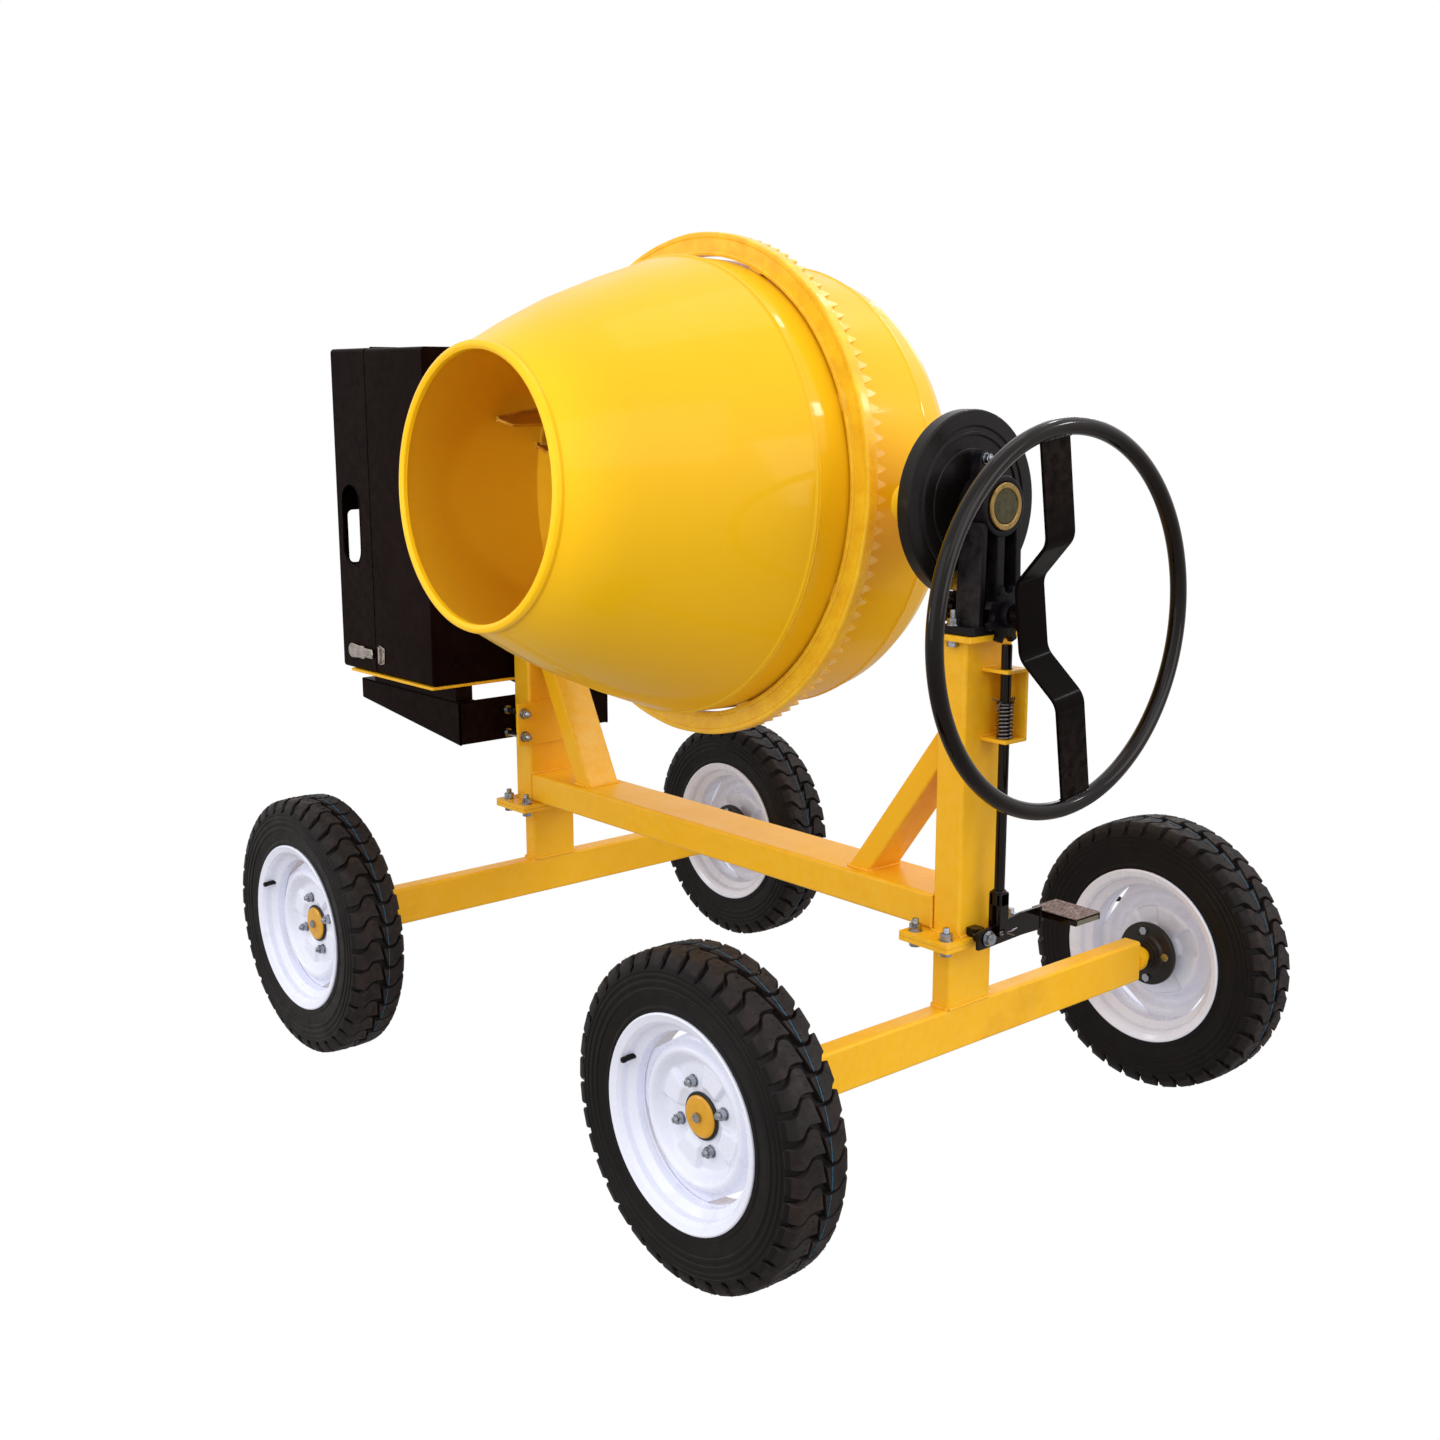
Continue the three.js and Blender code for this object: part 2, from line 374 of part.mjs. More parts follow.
// ---------------------------------------------------------------- engine box and its tray
const B = BOX;
function housing() {
  let m = box(B.seam + GAP, B.x1, -B.y, B.y, B.z0, B.z1).subtract(box(B.seam - 5, B.x1 - B.t, -B.y + B.t, B.y - B.t, B.z0 + B.t, B.z1 - B.t));
  m = m.subtract(cyl("x", B.x1 - 10, B.x1 + 10, [0, AXIS_Z], 46, 24));
  return m;
}
add("engine_housing", housing(), black);
function cover() {
  let m = box(B.x0, B.seam, -B.y - 1, B.y + 1, B.z0 + 0, B.z1 + 1).subtract(box(B.x0 + B.t, B.seam + 5, -B.y + 2, B.y - 2, B.z0 + 3, B.z1 - 2));
  const slot = plate("y", [...arc(-1014, 1104, 41, 0, 180, 10), ...arc(-1014, 1000, 41, 180, 360, 10)], -B.y - 20, B.y + 20);
  const back = plate("x", [[-236, 960], [-110, 960], [-110, 1082], [-236, 1082]], B.x0 - 10, B.x0 + 10);
  return m.subtract(slot).subtract(back);
}
add("engine_cover", cover(), black);
add("latch_lever", U(plate("y", [...arc(-1022, 762, 17, 90, 270, 8), [-975, 749], [-975, 775]], -B.y - 9, -B.y - 1 - GAP), box(-978, -928, -B.y - 8, -B.y - 4, 746, 778)), steel);
add("latch_catch", plate("y", [[-908, 740], [-886, 744], [-884, 780], [-908, 786]], -B.y - 7, -B.y - GAP), steel);
add("base_plate", U(
  box(-1040, B.x1 + 4, -B.y - 4, B.y + 4, 711.7, B.z0 - GAP),
  box(-1040, -672 - 8, -TRAY.y - 0, -TRAY.y + 44, TRAY.z1 + GAP, 712),
  box(-1040, -672 - 8, TRAY.y - 44, TRAY.y, TRAY.z1 + GAP, 712)).subtract(cyl("z", 600, 800, [-950, 0], 40, 12)), paint);
function tray() {
  const t = TRAY, zi = t.z1 - t.hIn, zo = t.z1 - t.hOut;
  const web = (s) => U(
    plate("y", [[t.x0, t.z1], [t.x1, t.z1], [t.x1, zi], [t.x0, zo]], s > 0 ? t.y - 5 : -t.y, s > 0 ? t.y : -t.y + 5),
    box(t.x0, t.x1, s > 0 ? t.y - 45 : -t.y, s > 0 ? t.y : -t.y + 45, t.z1 - 5, t.z1));
  return U(web(1), web(-1), box(t.x1 - 5, t.x1, -t.y, t.y, zi, t.z1), box(t.x0, t.x0 + 5, -t.y, t.y, zo, t.z1));
}
add("engine_tray", tray(), black);
// clamp plate on the inner face of the left post, tied to the tray by four studs
add("clamp_plate", box(-px0 + GAP, -px0 + 8, -96, 96, 576, 672), paint);
export default root;
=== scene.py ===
import bpy, json, math
import numpy as np
from mathutils import Matrix, Vector
from mathutils.geometry import tessellate_polygon
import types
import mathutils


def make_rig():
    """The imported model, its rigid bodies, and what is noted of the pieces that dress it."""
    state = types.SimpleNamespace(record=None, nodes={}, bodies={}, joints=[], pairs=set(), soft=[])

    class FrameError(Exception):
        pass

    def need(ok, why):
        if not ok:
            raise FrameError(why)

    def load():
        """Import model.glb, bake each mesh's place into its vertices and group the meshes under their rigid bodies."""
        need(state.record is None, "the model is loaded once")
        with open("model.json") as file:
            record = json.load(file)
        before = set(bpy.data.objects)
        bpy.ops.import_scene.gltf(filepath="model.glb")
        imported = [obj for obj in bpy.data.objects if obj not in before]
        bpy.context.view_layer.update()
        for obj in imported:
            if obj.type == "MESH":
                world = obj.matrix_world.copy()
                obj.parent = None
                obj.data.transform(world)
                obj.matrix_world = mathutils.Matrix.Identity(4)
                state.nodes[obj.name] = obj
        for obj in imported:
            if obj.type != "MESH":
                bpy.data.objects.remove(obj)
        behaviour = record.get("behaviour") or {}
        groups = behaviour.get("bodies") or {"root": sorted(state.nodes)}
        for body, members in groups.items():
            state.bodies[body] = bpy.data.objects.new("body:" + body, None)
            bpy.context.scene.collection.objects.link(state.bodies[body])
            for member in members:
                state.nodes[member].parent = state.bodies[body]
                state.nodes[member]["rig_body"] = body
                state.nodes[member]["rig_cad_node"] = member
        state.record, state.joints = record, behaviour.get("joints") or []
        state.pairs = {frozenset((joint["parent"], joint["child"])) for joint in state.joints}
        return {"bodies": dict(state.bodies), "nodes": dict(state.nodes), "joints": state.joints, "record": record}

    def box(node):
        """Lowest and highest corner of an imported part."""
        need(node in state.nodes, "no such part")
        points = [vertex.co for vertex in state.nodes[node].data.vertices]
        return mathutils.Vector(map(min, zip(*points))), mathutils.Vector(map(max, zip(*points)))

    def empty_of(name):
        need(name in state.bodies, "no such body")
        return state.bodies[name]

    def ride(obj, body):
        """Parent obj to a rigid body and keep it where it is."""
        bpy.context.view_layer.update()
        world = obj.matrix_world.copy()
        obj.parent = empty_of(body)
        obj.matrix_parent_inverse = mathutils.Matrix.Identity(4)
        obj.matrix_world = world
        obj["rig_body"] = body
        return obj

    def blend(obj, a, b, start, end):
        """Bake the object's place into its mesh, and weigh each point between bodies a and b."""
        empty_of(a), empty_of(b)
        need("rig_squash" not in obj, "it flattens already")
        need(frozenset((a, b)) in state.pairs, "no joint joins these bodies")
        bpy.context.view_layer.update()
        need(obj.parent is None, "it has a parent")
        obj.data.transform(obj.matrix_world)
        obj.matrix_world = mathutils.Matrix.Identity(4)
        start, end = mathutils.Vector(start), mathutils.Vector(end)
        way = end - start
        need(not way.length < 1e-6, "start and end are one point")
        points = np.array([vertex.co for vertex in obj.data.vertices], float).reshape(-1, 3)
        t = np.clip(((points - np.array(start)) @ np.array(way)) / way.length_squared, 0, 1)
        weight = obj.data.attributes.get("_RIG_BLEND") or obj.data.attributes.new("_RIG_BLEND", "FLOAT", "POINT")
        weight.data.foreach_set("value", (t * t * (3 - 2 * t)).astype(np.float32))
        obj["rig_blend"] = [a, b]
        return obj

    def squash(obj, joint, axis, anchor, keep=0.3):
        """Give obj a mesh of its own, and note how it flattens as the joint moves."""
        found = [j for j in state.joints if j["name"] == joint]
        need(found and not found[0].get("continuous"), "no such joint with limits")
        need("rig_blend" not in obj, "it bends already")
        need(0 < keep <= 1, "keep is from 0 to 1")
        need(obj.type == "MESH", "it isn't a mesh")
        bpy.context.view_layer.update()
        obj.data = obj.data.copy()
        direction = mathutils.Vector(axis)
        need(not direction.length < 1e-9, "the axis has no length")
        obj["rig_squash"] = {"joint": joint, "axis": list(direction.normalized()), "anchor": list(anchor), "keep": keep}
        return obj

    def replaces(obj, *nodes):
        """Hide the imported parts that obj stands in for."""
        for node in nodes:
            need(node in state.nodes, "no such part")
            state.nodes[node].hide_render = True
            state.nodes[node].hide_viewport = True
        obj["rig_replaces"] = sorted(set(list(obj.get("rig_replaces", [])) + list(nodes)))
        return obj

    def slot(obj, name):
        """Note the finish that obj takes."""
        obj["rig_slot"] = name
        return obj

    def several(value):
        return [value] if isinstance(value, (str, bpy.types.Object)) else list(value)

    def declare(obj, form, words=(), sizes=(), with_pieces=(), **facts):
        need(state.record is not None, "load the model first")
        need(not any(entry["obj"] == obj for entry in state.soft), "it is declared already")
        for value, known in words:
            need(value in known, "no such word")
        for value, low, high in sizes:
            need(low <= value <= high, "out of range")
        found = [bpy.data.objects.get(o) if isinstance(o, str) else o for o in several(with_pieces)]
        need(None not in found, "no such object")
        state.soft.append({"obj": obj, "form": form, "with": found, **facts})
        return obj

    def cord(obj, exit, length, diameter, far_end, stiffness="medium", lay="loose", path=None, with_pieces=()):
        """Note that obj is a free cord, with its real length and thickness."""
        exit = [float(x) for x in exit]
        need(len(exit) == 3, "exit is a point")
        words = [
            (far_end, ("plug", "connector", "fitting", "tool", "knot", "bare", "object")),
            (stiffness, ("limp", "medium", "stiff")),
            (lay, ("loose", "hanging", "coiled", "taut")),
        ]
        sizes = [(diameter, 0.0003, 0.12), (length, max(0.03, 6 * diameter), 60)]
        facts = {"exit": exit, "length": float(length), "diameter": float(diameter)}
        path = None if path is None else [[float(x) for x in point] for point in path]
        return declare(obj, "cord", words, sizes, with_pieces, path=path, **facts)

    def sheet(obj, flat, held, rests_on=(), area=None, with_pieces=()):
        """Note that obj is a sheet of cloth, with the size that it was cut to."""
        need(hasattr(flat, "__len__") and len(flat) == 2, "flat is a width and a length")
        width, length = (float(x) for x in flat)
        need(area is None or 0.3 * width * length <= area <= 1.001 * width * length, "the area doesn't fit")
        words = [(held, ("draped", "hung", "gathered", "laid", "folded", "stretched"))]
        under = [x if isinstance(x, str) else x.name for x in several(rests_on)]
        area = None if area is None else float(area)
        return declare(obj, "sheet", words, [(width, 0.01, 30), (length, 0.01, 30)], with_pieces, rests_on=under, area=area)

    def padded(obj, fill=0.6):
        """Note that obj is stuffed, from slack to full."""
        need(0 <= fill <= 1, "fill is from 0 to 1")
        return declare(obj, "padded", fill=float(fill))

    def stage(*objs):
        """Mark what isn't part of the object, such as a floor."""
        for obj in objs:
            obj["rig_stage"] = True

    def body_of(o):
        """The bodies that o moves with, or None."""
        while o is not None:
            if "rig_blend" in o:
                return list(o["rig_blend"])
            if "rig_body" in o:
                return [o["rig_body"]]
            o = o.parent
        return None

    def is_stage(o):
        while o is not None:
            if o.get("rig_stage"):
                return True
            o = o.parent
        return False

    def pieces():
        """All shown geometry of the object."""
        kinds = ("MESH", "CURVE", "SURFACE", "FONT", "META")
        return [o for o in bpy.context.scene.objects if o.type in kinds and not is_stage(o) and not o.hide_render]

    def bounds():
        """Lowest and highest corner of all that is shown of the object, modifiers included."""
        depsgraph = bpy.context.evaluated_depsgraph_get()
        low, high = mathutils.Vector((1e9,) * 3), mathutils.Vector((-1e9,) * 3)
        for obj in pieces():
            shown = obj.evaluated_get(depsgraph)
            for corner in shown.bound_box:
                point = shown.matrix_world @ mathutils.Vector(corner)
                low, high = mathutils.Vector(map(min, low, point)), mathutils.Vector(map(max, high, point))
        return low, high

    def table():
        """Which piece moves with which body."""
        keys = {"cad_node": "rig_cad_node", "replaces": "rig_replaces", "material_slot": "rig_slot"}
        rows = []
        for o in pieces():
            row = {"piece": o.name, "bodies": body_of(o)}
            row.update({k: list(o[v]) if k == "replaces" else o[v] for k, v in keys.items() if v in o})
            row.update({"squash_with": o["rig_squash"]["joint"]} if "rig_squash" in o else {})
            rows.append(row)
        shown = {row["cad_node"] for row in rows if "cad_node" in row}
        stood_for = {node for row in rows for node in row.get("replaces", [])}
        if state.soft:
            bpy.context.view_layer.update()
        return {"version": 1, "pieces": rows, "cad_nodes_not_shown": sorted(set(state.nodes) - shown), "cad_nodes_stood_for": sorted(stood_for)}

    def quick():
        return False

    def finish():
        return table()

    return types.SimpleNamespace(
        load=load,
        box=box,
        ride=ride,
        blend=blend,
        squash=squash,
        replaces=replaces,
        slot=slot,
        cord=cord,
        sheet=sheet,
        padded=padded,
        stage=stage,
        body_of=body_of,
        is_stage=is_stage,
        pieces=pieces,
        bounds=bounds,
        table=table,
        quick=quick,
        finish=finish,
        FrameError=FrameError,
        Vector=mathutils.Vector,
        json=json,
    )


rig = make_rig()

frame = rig.load()
CAD_BOX = [list(v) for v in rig.bounds()]
nodes = frame["nodes"]
D = math.pi / 180
# The drawing frame is in mm, on the ground midway between the axles; the part's frame is SX further along X.
SX = 105.5
AXIS_Z, SHAFT_Z, TILT = 1170.0, 995.0, 2.2
scene = bpy.context.scene
scene.view_settings.view_transform = "Standard"
scene.view_settings.look = "None"
WORLD, KEY, FRONT, TOP, SIDEW, MOUTH = 1.12, 20, 45, 8, 36, 380

# ------------------------------------------------------------------ camera
def camera():
    cam = bpy.data.cameras.new("camera")
    cam.sensor_width, cam.sensor_fit = 36.0, "HORIZONTAL"
    cam.lens = 1673.0 / 1440.0 * 36.0
    cam.clip_end = 100
    o = bpy.data.objects.new("camera", cam)
    scene.collection.objects.link(o)
    az, el, roll = 49.35 * D, 11.26 * D, -0.11 * D
    back = Vector((math.sin(az) * math.cos(el), -math.cos(az) * math.cos(el), math.sin(el)))
    right = Vector((math.cos(az), math.sin(az), 0))
    up = back.cross(right)
    r2 = right * math.cos(roll) + up * math.sin(roll)
    u2 = back.cross(r2)
    m = Matrix((r2, u2, back)).transposed().to_4x4()
    m.translation = Vector(((2456.7 + SX) / 1000, -2.1283, 1.3610))
    o.matrix_world = m
    scene.camera = o
camera()

# ------------------------------------------------------------------ mesh helpers (mm)
def rotx(v, deg, z):
    a = deg * D
    w = v.copy()
    y, zz = v[:, 1], v[:, 2] - z
    w[:, 1] = y * math.cos(a) - zz * math.sin(a)
    w[:, 2] = y * math.sin(a) + zz * math.cos(a) + z
    return w
tip = lambda v: rotx(v, -TILT, AXIS_Z)

def fillet(pts, default=0.0, k=4, closed=True):
    """2D polygon of (u, v) or (u, v, radius): corners rounded with arcs."""
    P = [(p[0], p[1], p[2] if len(p) > 2 else default) for p in pts]
    out, n = [], len(P)
    for i, (x, y, r) in enumerate(P):
        if not closed and i in (0, n - 1) or r <= 0:
            out.append((x, y)); continue
        a, b, c = np.array(P[i - 1][:2]), np.array((x, y)), np.array(P[(i + 1) % n][:2])
        u, w = a - b, c - b
        lu, lw = np.linalg.norm(u), np.linalg.norm(w)
        if lu < 1e-9 or lw < 1e-9:
            out.append((x, y)); continue
        u, w = u / lu, w / lw
        ang = math.acos(max(-1, min(1, float(u @ w))))
        if ang > math.pi - 0.02:
            out.append((x, y)); continue
        d = min(r / math.tan(ang / 2), 0.49 * lu, 0.49 * lw)
        r = d * math.tan(ang / 2)
        bis = (u + w) / np.linalg.norm(u + w)
        cen = b + bis * (r / math.sin(ang / 2))
        p0, p1 = b + u * d - cen, b + w * d - cen
        a0 = math.atan2(p0[1], p0[0]); a1 = math.atan2(p1[1], p1[0])
        da = (a1 - a0 + math.pi) % (2 * math.pi) - math.pi
        for j in range(k + 1):
            t = a0 + da * j / k
            out.append((cen[0] + r * math.cos(t), cen[1] + r * math.sin(t)))
    return out

def circ(cu, cv, r, n=32, a0=0.0):
    return [(cu + r * math.cos(a0 + 2 * math.pi * i / n), cv + r * math.sin(a0 + 2 * math.pi * i / n)) for i in range(n)]
def rect(u0, u1, v0, v1, r=0.0, k=4):
    return fillet([(u0, v0, r), (u1, v0, r), (u1, v1, r), (u0, v1, r)], k=k)
def area2(p):
    return sum(p[i][0] * p[(i + 1) % len(p)][1] - p[(i + 1) % len(p)][0] * p[i][1] for i in range(len(p))) / 2
def ccw(p):
    return list(p) if area2(p) > 0 else list(reversed(p))

def place(axis, u, v, w):
    """x: (u,v)=(Y,Z) w=X; y: (u,v)=(X,Z) w=Y; z: (u,v)=(X,Y) w=Z"""
    if axis == "x": return np.stack([w, u, v], -1)
    if axis == "y": return np.stack([u, w, v], -1)
    return np.stack([u, v, w], -1)

def offset(p, d):
    """insets a counter-clockwise polygon by d (miter)."""
    p = np.array(p, float); n = len(p)
    if abs(d) < 1e-9: return p
    e = np.roll(p, -1, 0) - p
    L = np.linalg.norm(e, axis=1, keepdims=True); L[L < 1e-9] = 1e-9
    e = e / L
    nl = np.stack([-e[:, 1], e[:, 0]], -1)
    n0, n1 = np.roll(nl, 1, 0), nl
    m = n0 + n1
    s = (m * n1).sum(1, keepdims=True)
    s[s < 0.35] = 0.35
    return p + m / s * d

def prism(axis, outer, a0, a1, bevel=0.8, holes=(), k=2):
    """outline pushed from a0 to a1, its edges rounded by bevel"""
    if a0 > a1: a0, a1 = a1, a0
    bevel = min(bevel, (a1 - a0) * 0.45)
    prof = []
    if bevel > 0:
        for j in range(k + 1):
            t = (math.pi / 2) * j / k
            prof.append((bevel * (1 - math.sin(t)), a0 + bevel * (1 - math.cos(t))))
        prof += [(o, a0 + a1 - h) for o, h in reversed(prof)]
    else:
        prof = [(0, a0), (0, a1)]
    V, F, n = [], [], 0
    loops = [ccw(outer)] + [list(reversed(ccw(h))) for h in holes]
    caps0, caps1 = [], []
    for lp in loops:
        m = len(lp)
        for o, h in prof:
            q = offset(lp, o)
            V.append(np.column_stack([q, np.full(m, h)]))
        for i in range(len(prof) - 1):
            for j in range(m):
                a, b = n + i * m + j, n + i * m + (j + 1) % m
                F.append((a, b, b + m, a + m))
        caps0.append(list(range(n, n + m)))
        caps1.append(list(range(n + (len(prof) - 1) * m, n + len(prof) * m)))
        n += m * len(prof)
    V = np.vstack(V)
    if len(loops) == 1:
        F.append(tuple(reversed(caps0[0]))); F.append(tuple(caps1[0]))
    else:
        for caps, rev in ((caps0, True), (caps1, False)):
            flat = [i for c in caps for i in c]
            tris = tessellate_polygon([[Vector((V[i][0], V[i][1], 0)) for i in c] for c in caps])
            for t in tris:
                f = [flat[i] for i in t]
                a, b, c = V[f[0]], V[f[1]], V[f[2]]
                s = (b[0] - a[0]) * (c[1] - a[1]) - (c[0] - a[0]) * (b[1] - a[1])
                if (s < 0) != rev: f.reverse()
                F.append(tuple(f))
    W = place(axis, V[:, 0], V[:, 1], V[:, 2])
    if axis == "y": F = [tuple(reversed(f)) for f in F]
    return W, F

def lathe(prof, axis, c=(0, 0), n=96, r=0.0, k=4, closed=True, wob=None):
    """closed profile of (radius, station[, fillet]) turned round an axis"""
    P = fillet(prof, r, k, closed)
    P = np.array(P, float)
    m = len(P)
    t = np.arange(n) / n * 2 * math.pi
    R = P[None, :, 0] * np.ones((n, 1)); S = P[None, :, 1] * np.ones((n, 1))
    if wob is not None: R, S = wob(R, S, t[:, None])
    u, v = R * np.cos(t)[:, None] + c[0], R * np.sin(t)[:, None] + c[1]
    W = place(axis, u.ravel(), v.ravel(), S.ravel())
    F = []
    last = m if closed else m - 1
    for i in range(n):
        i2 = (i + 1) % n
        for j in range(last):
            j2 = (j + 1) % m
            q = (i * m + j, i2 * m + j, i2 * m + j2, i * m + j2)
            F.append(q)
    return W, F

def cyl(axis, a0, a1, c, r, n=48, bevel=0.8, r_in=None):
    if r_in is None:
        return prism(axis, circ(c[0], c[1], r, n), a0, a1, bevel)
    return prism(axis, circ(c[0], c[1], r, n), a0, a1, bevel, holes=[circ(c[0], c[1], r_in, n)])

def tube(path, r, n=16, closed=False, rw=None):
    """round bar along a path; r may be a list"""
    P = np.array(path, float); m = len(P)
    R = np.full(m, r, float) if np.isscalar(r) else np.array(r, float)
    T = (np.roll(P, -1, 0) - np.roll(P, 1, 0)) if closed else np.gradient(P, axis=0)
    T /= np.linalg.norm(T, axis=1, keepdims=True)
    nrm = np.cross(T[0], (0, 0, 1.0))
    if np.linalg.norm(nrm) < 0.2: nrm = np.cross(T[0], (1.0, 0, 0))
    N = [nrm / np.linalg.norm(nrm)]
    for i in range(1, m):
        q = N[-1] - T[i] * (N[-1] @ T[i])
        N.append(q / np.linalg.norm(q))
    N = np.array(N)
    if closed:
        q = N[-1] - T[0] * (N[-1] @ T[0]); q /= np.linalg.norm(q)
        twist = math.atan2(np.cross(q, N[0]) @ T[0], q @ N[0])
    else: twist = 0
    V = []
    for i in range(m):
        Bn = np.cross(T[i], N[i])
        a = np.arange(n) / n * 2 * math.pi + twist * i / m
        V.append(P[i] + R[i] * (np.cos(a)[:, None] * N[i] + np.sin(a)[:, None] * Bn))
    V = np.vstack(V); F = []
    for i in range(m if closed else m - 1):
        i2 = (i + 1) % m
        for j in range(n):
            F.append((i * n + j, i * n + (j + 1) % n, i2 * n + (j + 1) % n, i2 * n + j))
    if not closed:
        F.append(tuple(reversed(range(n)))); F.append(tuple(range((m - 1) * n, m * n)))
    return V, F

def loft(sections, closed=False):
    """closed rings of equal length joined in order, capped at both ends"""
    m, n = len(sections), len(sections[0])
    V = np.vstack([np.array(s, float) for s in sections]); F = []
    for i in range(m if closed else m - 1):
        i2 = (i + 1) % m
        for j in range(n):
            F.append((i * n + j, i * n + (j + 1) % n, i2 * n + (j + 1) % n, i2 * n + j))
    if not closed:
        F.append(tuple(reversed(range(n)))); F.append(tuple(range((m - 1) * n, m * n)))
    return V, F

class Piece:
    def __init__(self): self.V, self.F, self.M, self.n = [], [], [], 0
    def put(self, vf, mat=0, T=None):
        v, f = vf
        v = np.array(v, float)
        if T is not None: v = T(v)
        self.V.append(v)
        self.F += [tuple(int(i) + self.n for i in q) for q in f]
        self.M += [mat] * len(f) if np.isscalar(mat) else list(mat)
        self.n += len(v)
        return self
    def obj(self, name, body, mats, slot, replaces=(), T=None, smooth=32, weld=1e-3):
        V = np.vstack(self.V)
        if T is not None: V = T(V)
        V = (V + np.array([SX, 0, 0])) / 1000.0
        me = bpy.data.meshes.new(name)
        me.from_pydata(V.tolist(), [], self.F)
        for m in (mats if isinstance(mats, (list, tuple)) else [mats]): me.materials.append(m)
        me.polygons.foreach_set("material_index", np.array(self.M, np.int32))
        me.validate()
        import bmesh as _b
        bm = _b.new(); bm.from_mesh(me)
        _b.ops.remove_doubles(bm, verts=bm.verts, dist=weld * 1e-3)
        _b.ops.recalc_face_normals(bm, faces=bm.faces)
        bm.to_mesh(me); bm.free()
        me.shade_smooth()
        me.set_sharp_from_angle(angle=smooth * D)
        o = bpy.data.objects.new(name, me)
        scene.collection.objects.link(o)
        w = o.modifiers.new("wn", "WEIGHTED_NORMAL"); w.keep_sharp = True; w.weight = 60
        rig.ride(o, body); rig.slot(o, slot)
        if replaces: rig.replaces(o, *replaces)
        return o

def basis(axis):
    d = np.array({"x": (1, 0, 0), "-x": (-1, 0, 0), "y": (0, 1, 0), "-y": (0, -1, 0), "z": (0, 0, 1), "-z": (0, 0, -1)}[axis] if isinstance(axis, str) else axis, float)
    d /= np.linalg.norm(d)
    h = np.array((0, 0, 1.0)) if abs(d[2]) < 0.9 else np.array((1.0, 0, 0))
    e = np.cross(h, d); e /= np.linalg.norm(e)
    return e, np.cross(d, e), d
def at(p, axis, spin=0.0):
    """local z goes along axis, local origin to p"""
    e, f, d = basis(axis)
    a = spin * D
    e2, f2 = e * math.cos(a) + f * math.sin(a), -e * math.sin(a) + f * math.cos(a)
    M = np.stack([e2, f2, d])
    return lambda v: v @ M + np.array(p, float)
def hexa(p, c, axis, af, h, spin=0.0, mat=0, flange=0.0):
    """hexagon with rounded corners (a nut or bolt head) standing on point c"""
    R = af / math.sqrt(3)
    T = at(c, axis, spin)
    rings = []
    for rr, z in ((R * 0.97, 0), (R, 0.4), (R, h * 0.82), (R * 0.93, h * 0.95), (R * 0.8, h)):
        pts = []
        for i in range(36):
            t = 2 * math.pi * i / 36
            q = (t % (math.pi / 3)) - math.pi / 6
            edge = (af / 2) / math.cos(q)
            pts.append((min(edge, rr) * math.cos(t), min(edge, rr) * math.sin(t), z))
        rings.append(pts)
    p.put(loft(rings), mat, T)
def bolt(p, c, axis, d=10, af=17, h=7, washer=True, stud=6, spin=0.0, mat=0):
    """washer, nut and stud end standing on point c"""
    T = at(c, axis, spin); z = 0
    if washer:
        p.put(cyl("z", 0, 1.6, (0, 0), d * 1.05, 32, 0.4), mat, T)
        p.put(cyl("z", 1.6, 3.4, (0, 0), d * 0.82, 24, 0.5), mat, T); z = 3.4
    e, f, dd = basis(axis)
    hexa(p, np.array(c, float) + dd * z, axis, af, h, spin, mat)
    if stud > 0:
        # threaded end: shallow rings
        prof = [(0.0, z + h - 1)]
        s = z + h - 1
        while s < z + h + stud - 1.2:
            prof += [(d / 2 - 0.45, s), (d / 2, s + 0.6)]; s += 1.3
        prof += [(d / 2 - 0.3, s), (d / 2 - 1.4, z + h + stud), (0.0, z + h + stud)]
        p.put(lathe(prof, "z", (0, 0), 20, 0, closed=False), mat, T)
def weld(p, a, b, r=3.0, mat=0, step=2.2, seed=0):
    """rippled fillet weld from a to b"""
    a, b = np.array(a, float), np.array(b, float)
    n = max(3, int(np.linalg.norm(b - a) / step))
    rng = np.random.RandomState(seed + n)
    t = np.linspace(0, 1, n)
    path = a + (b - a) * t[:, None] + rng.uniform(-0.25, 0.25, (n, 3))
    p.put(tube(path, r * (0.86 + 0.2 * (np.arange(n) % 2) + rng.uniform(-0.06, 0.06, n)), 8), mat)
def ring_weld(p, axis, c, s, R, r=2.5, n=240, mat=0, seed=0, T=None):
    rng = np.random.RandomState(seed)
    t = np.arange(n) / n * 2 * math.pi
    rr = R + rng.uniform(-0.2, 0.2, n)
    pts = place(axis, c[0] + rr * np.cos(t), c[1] + rr * np.sin(t), np.full(n, s, float))
    p.put(tube(pts, r * (0.9 + 0.14 * (np.arange(n) % 2)), 8, closed=True), mat, T)

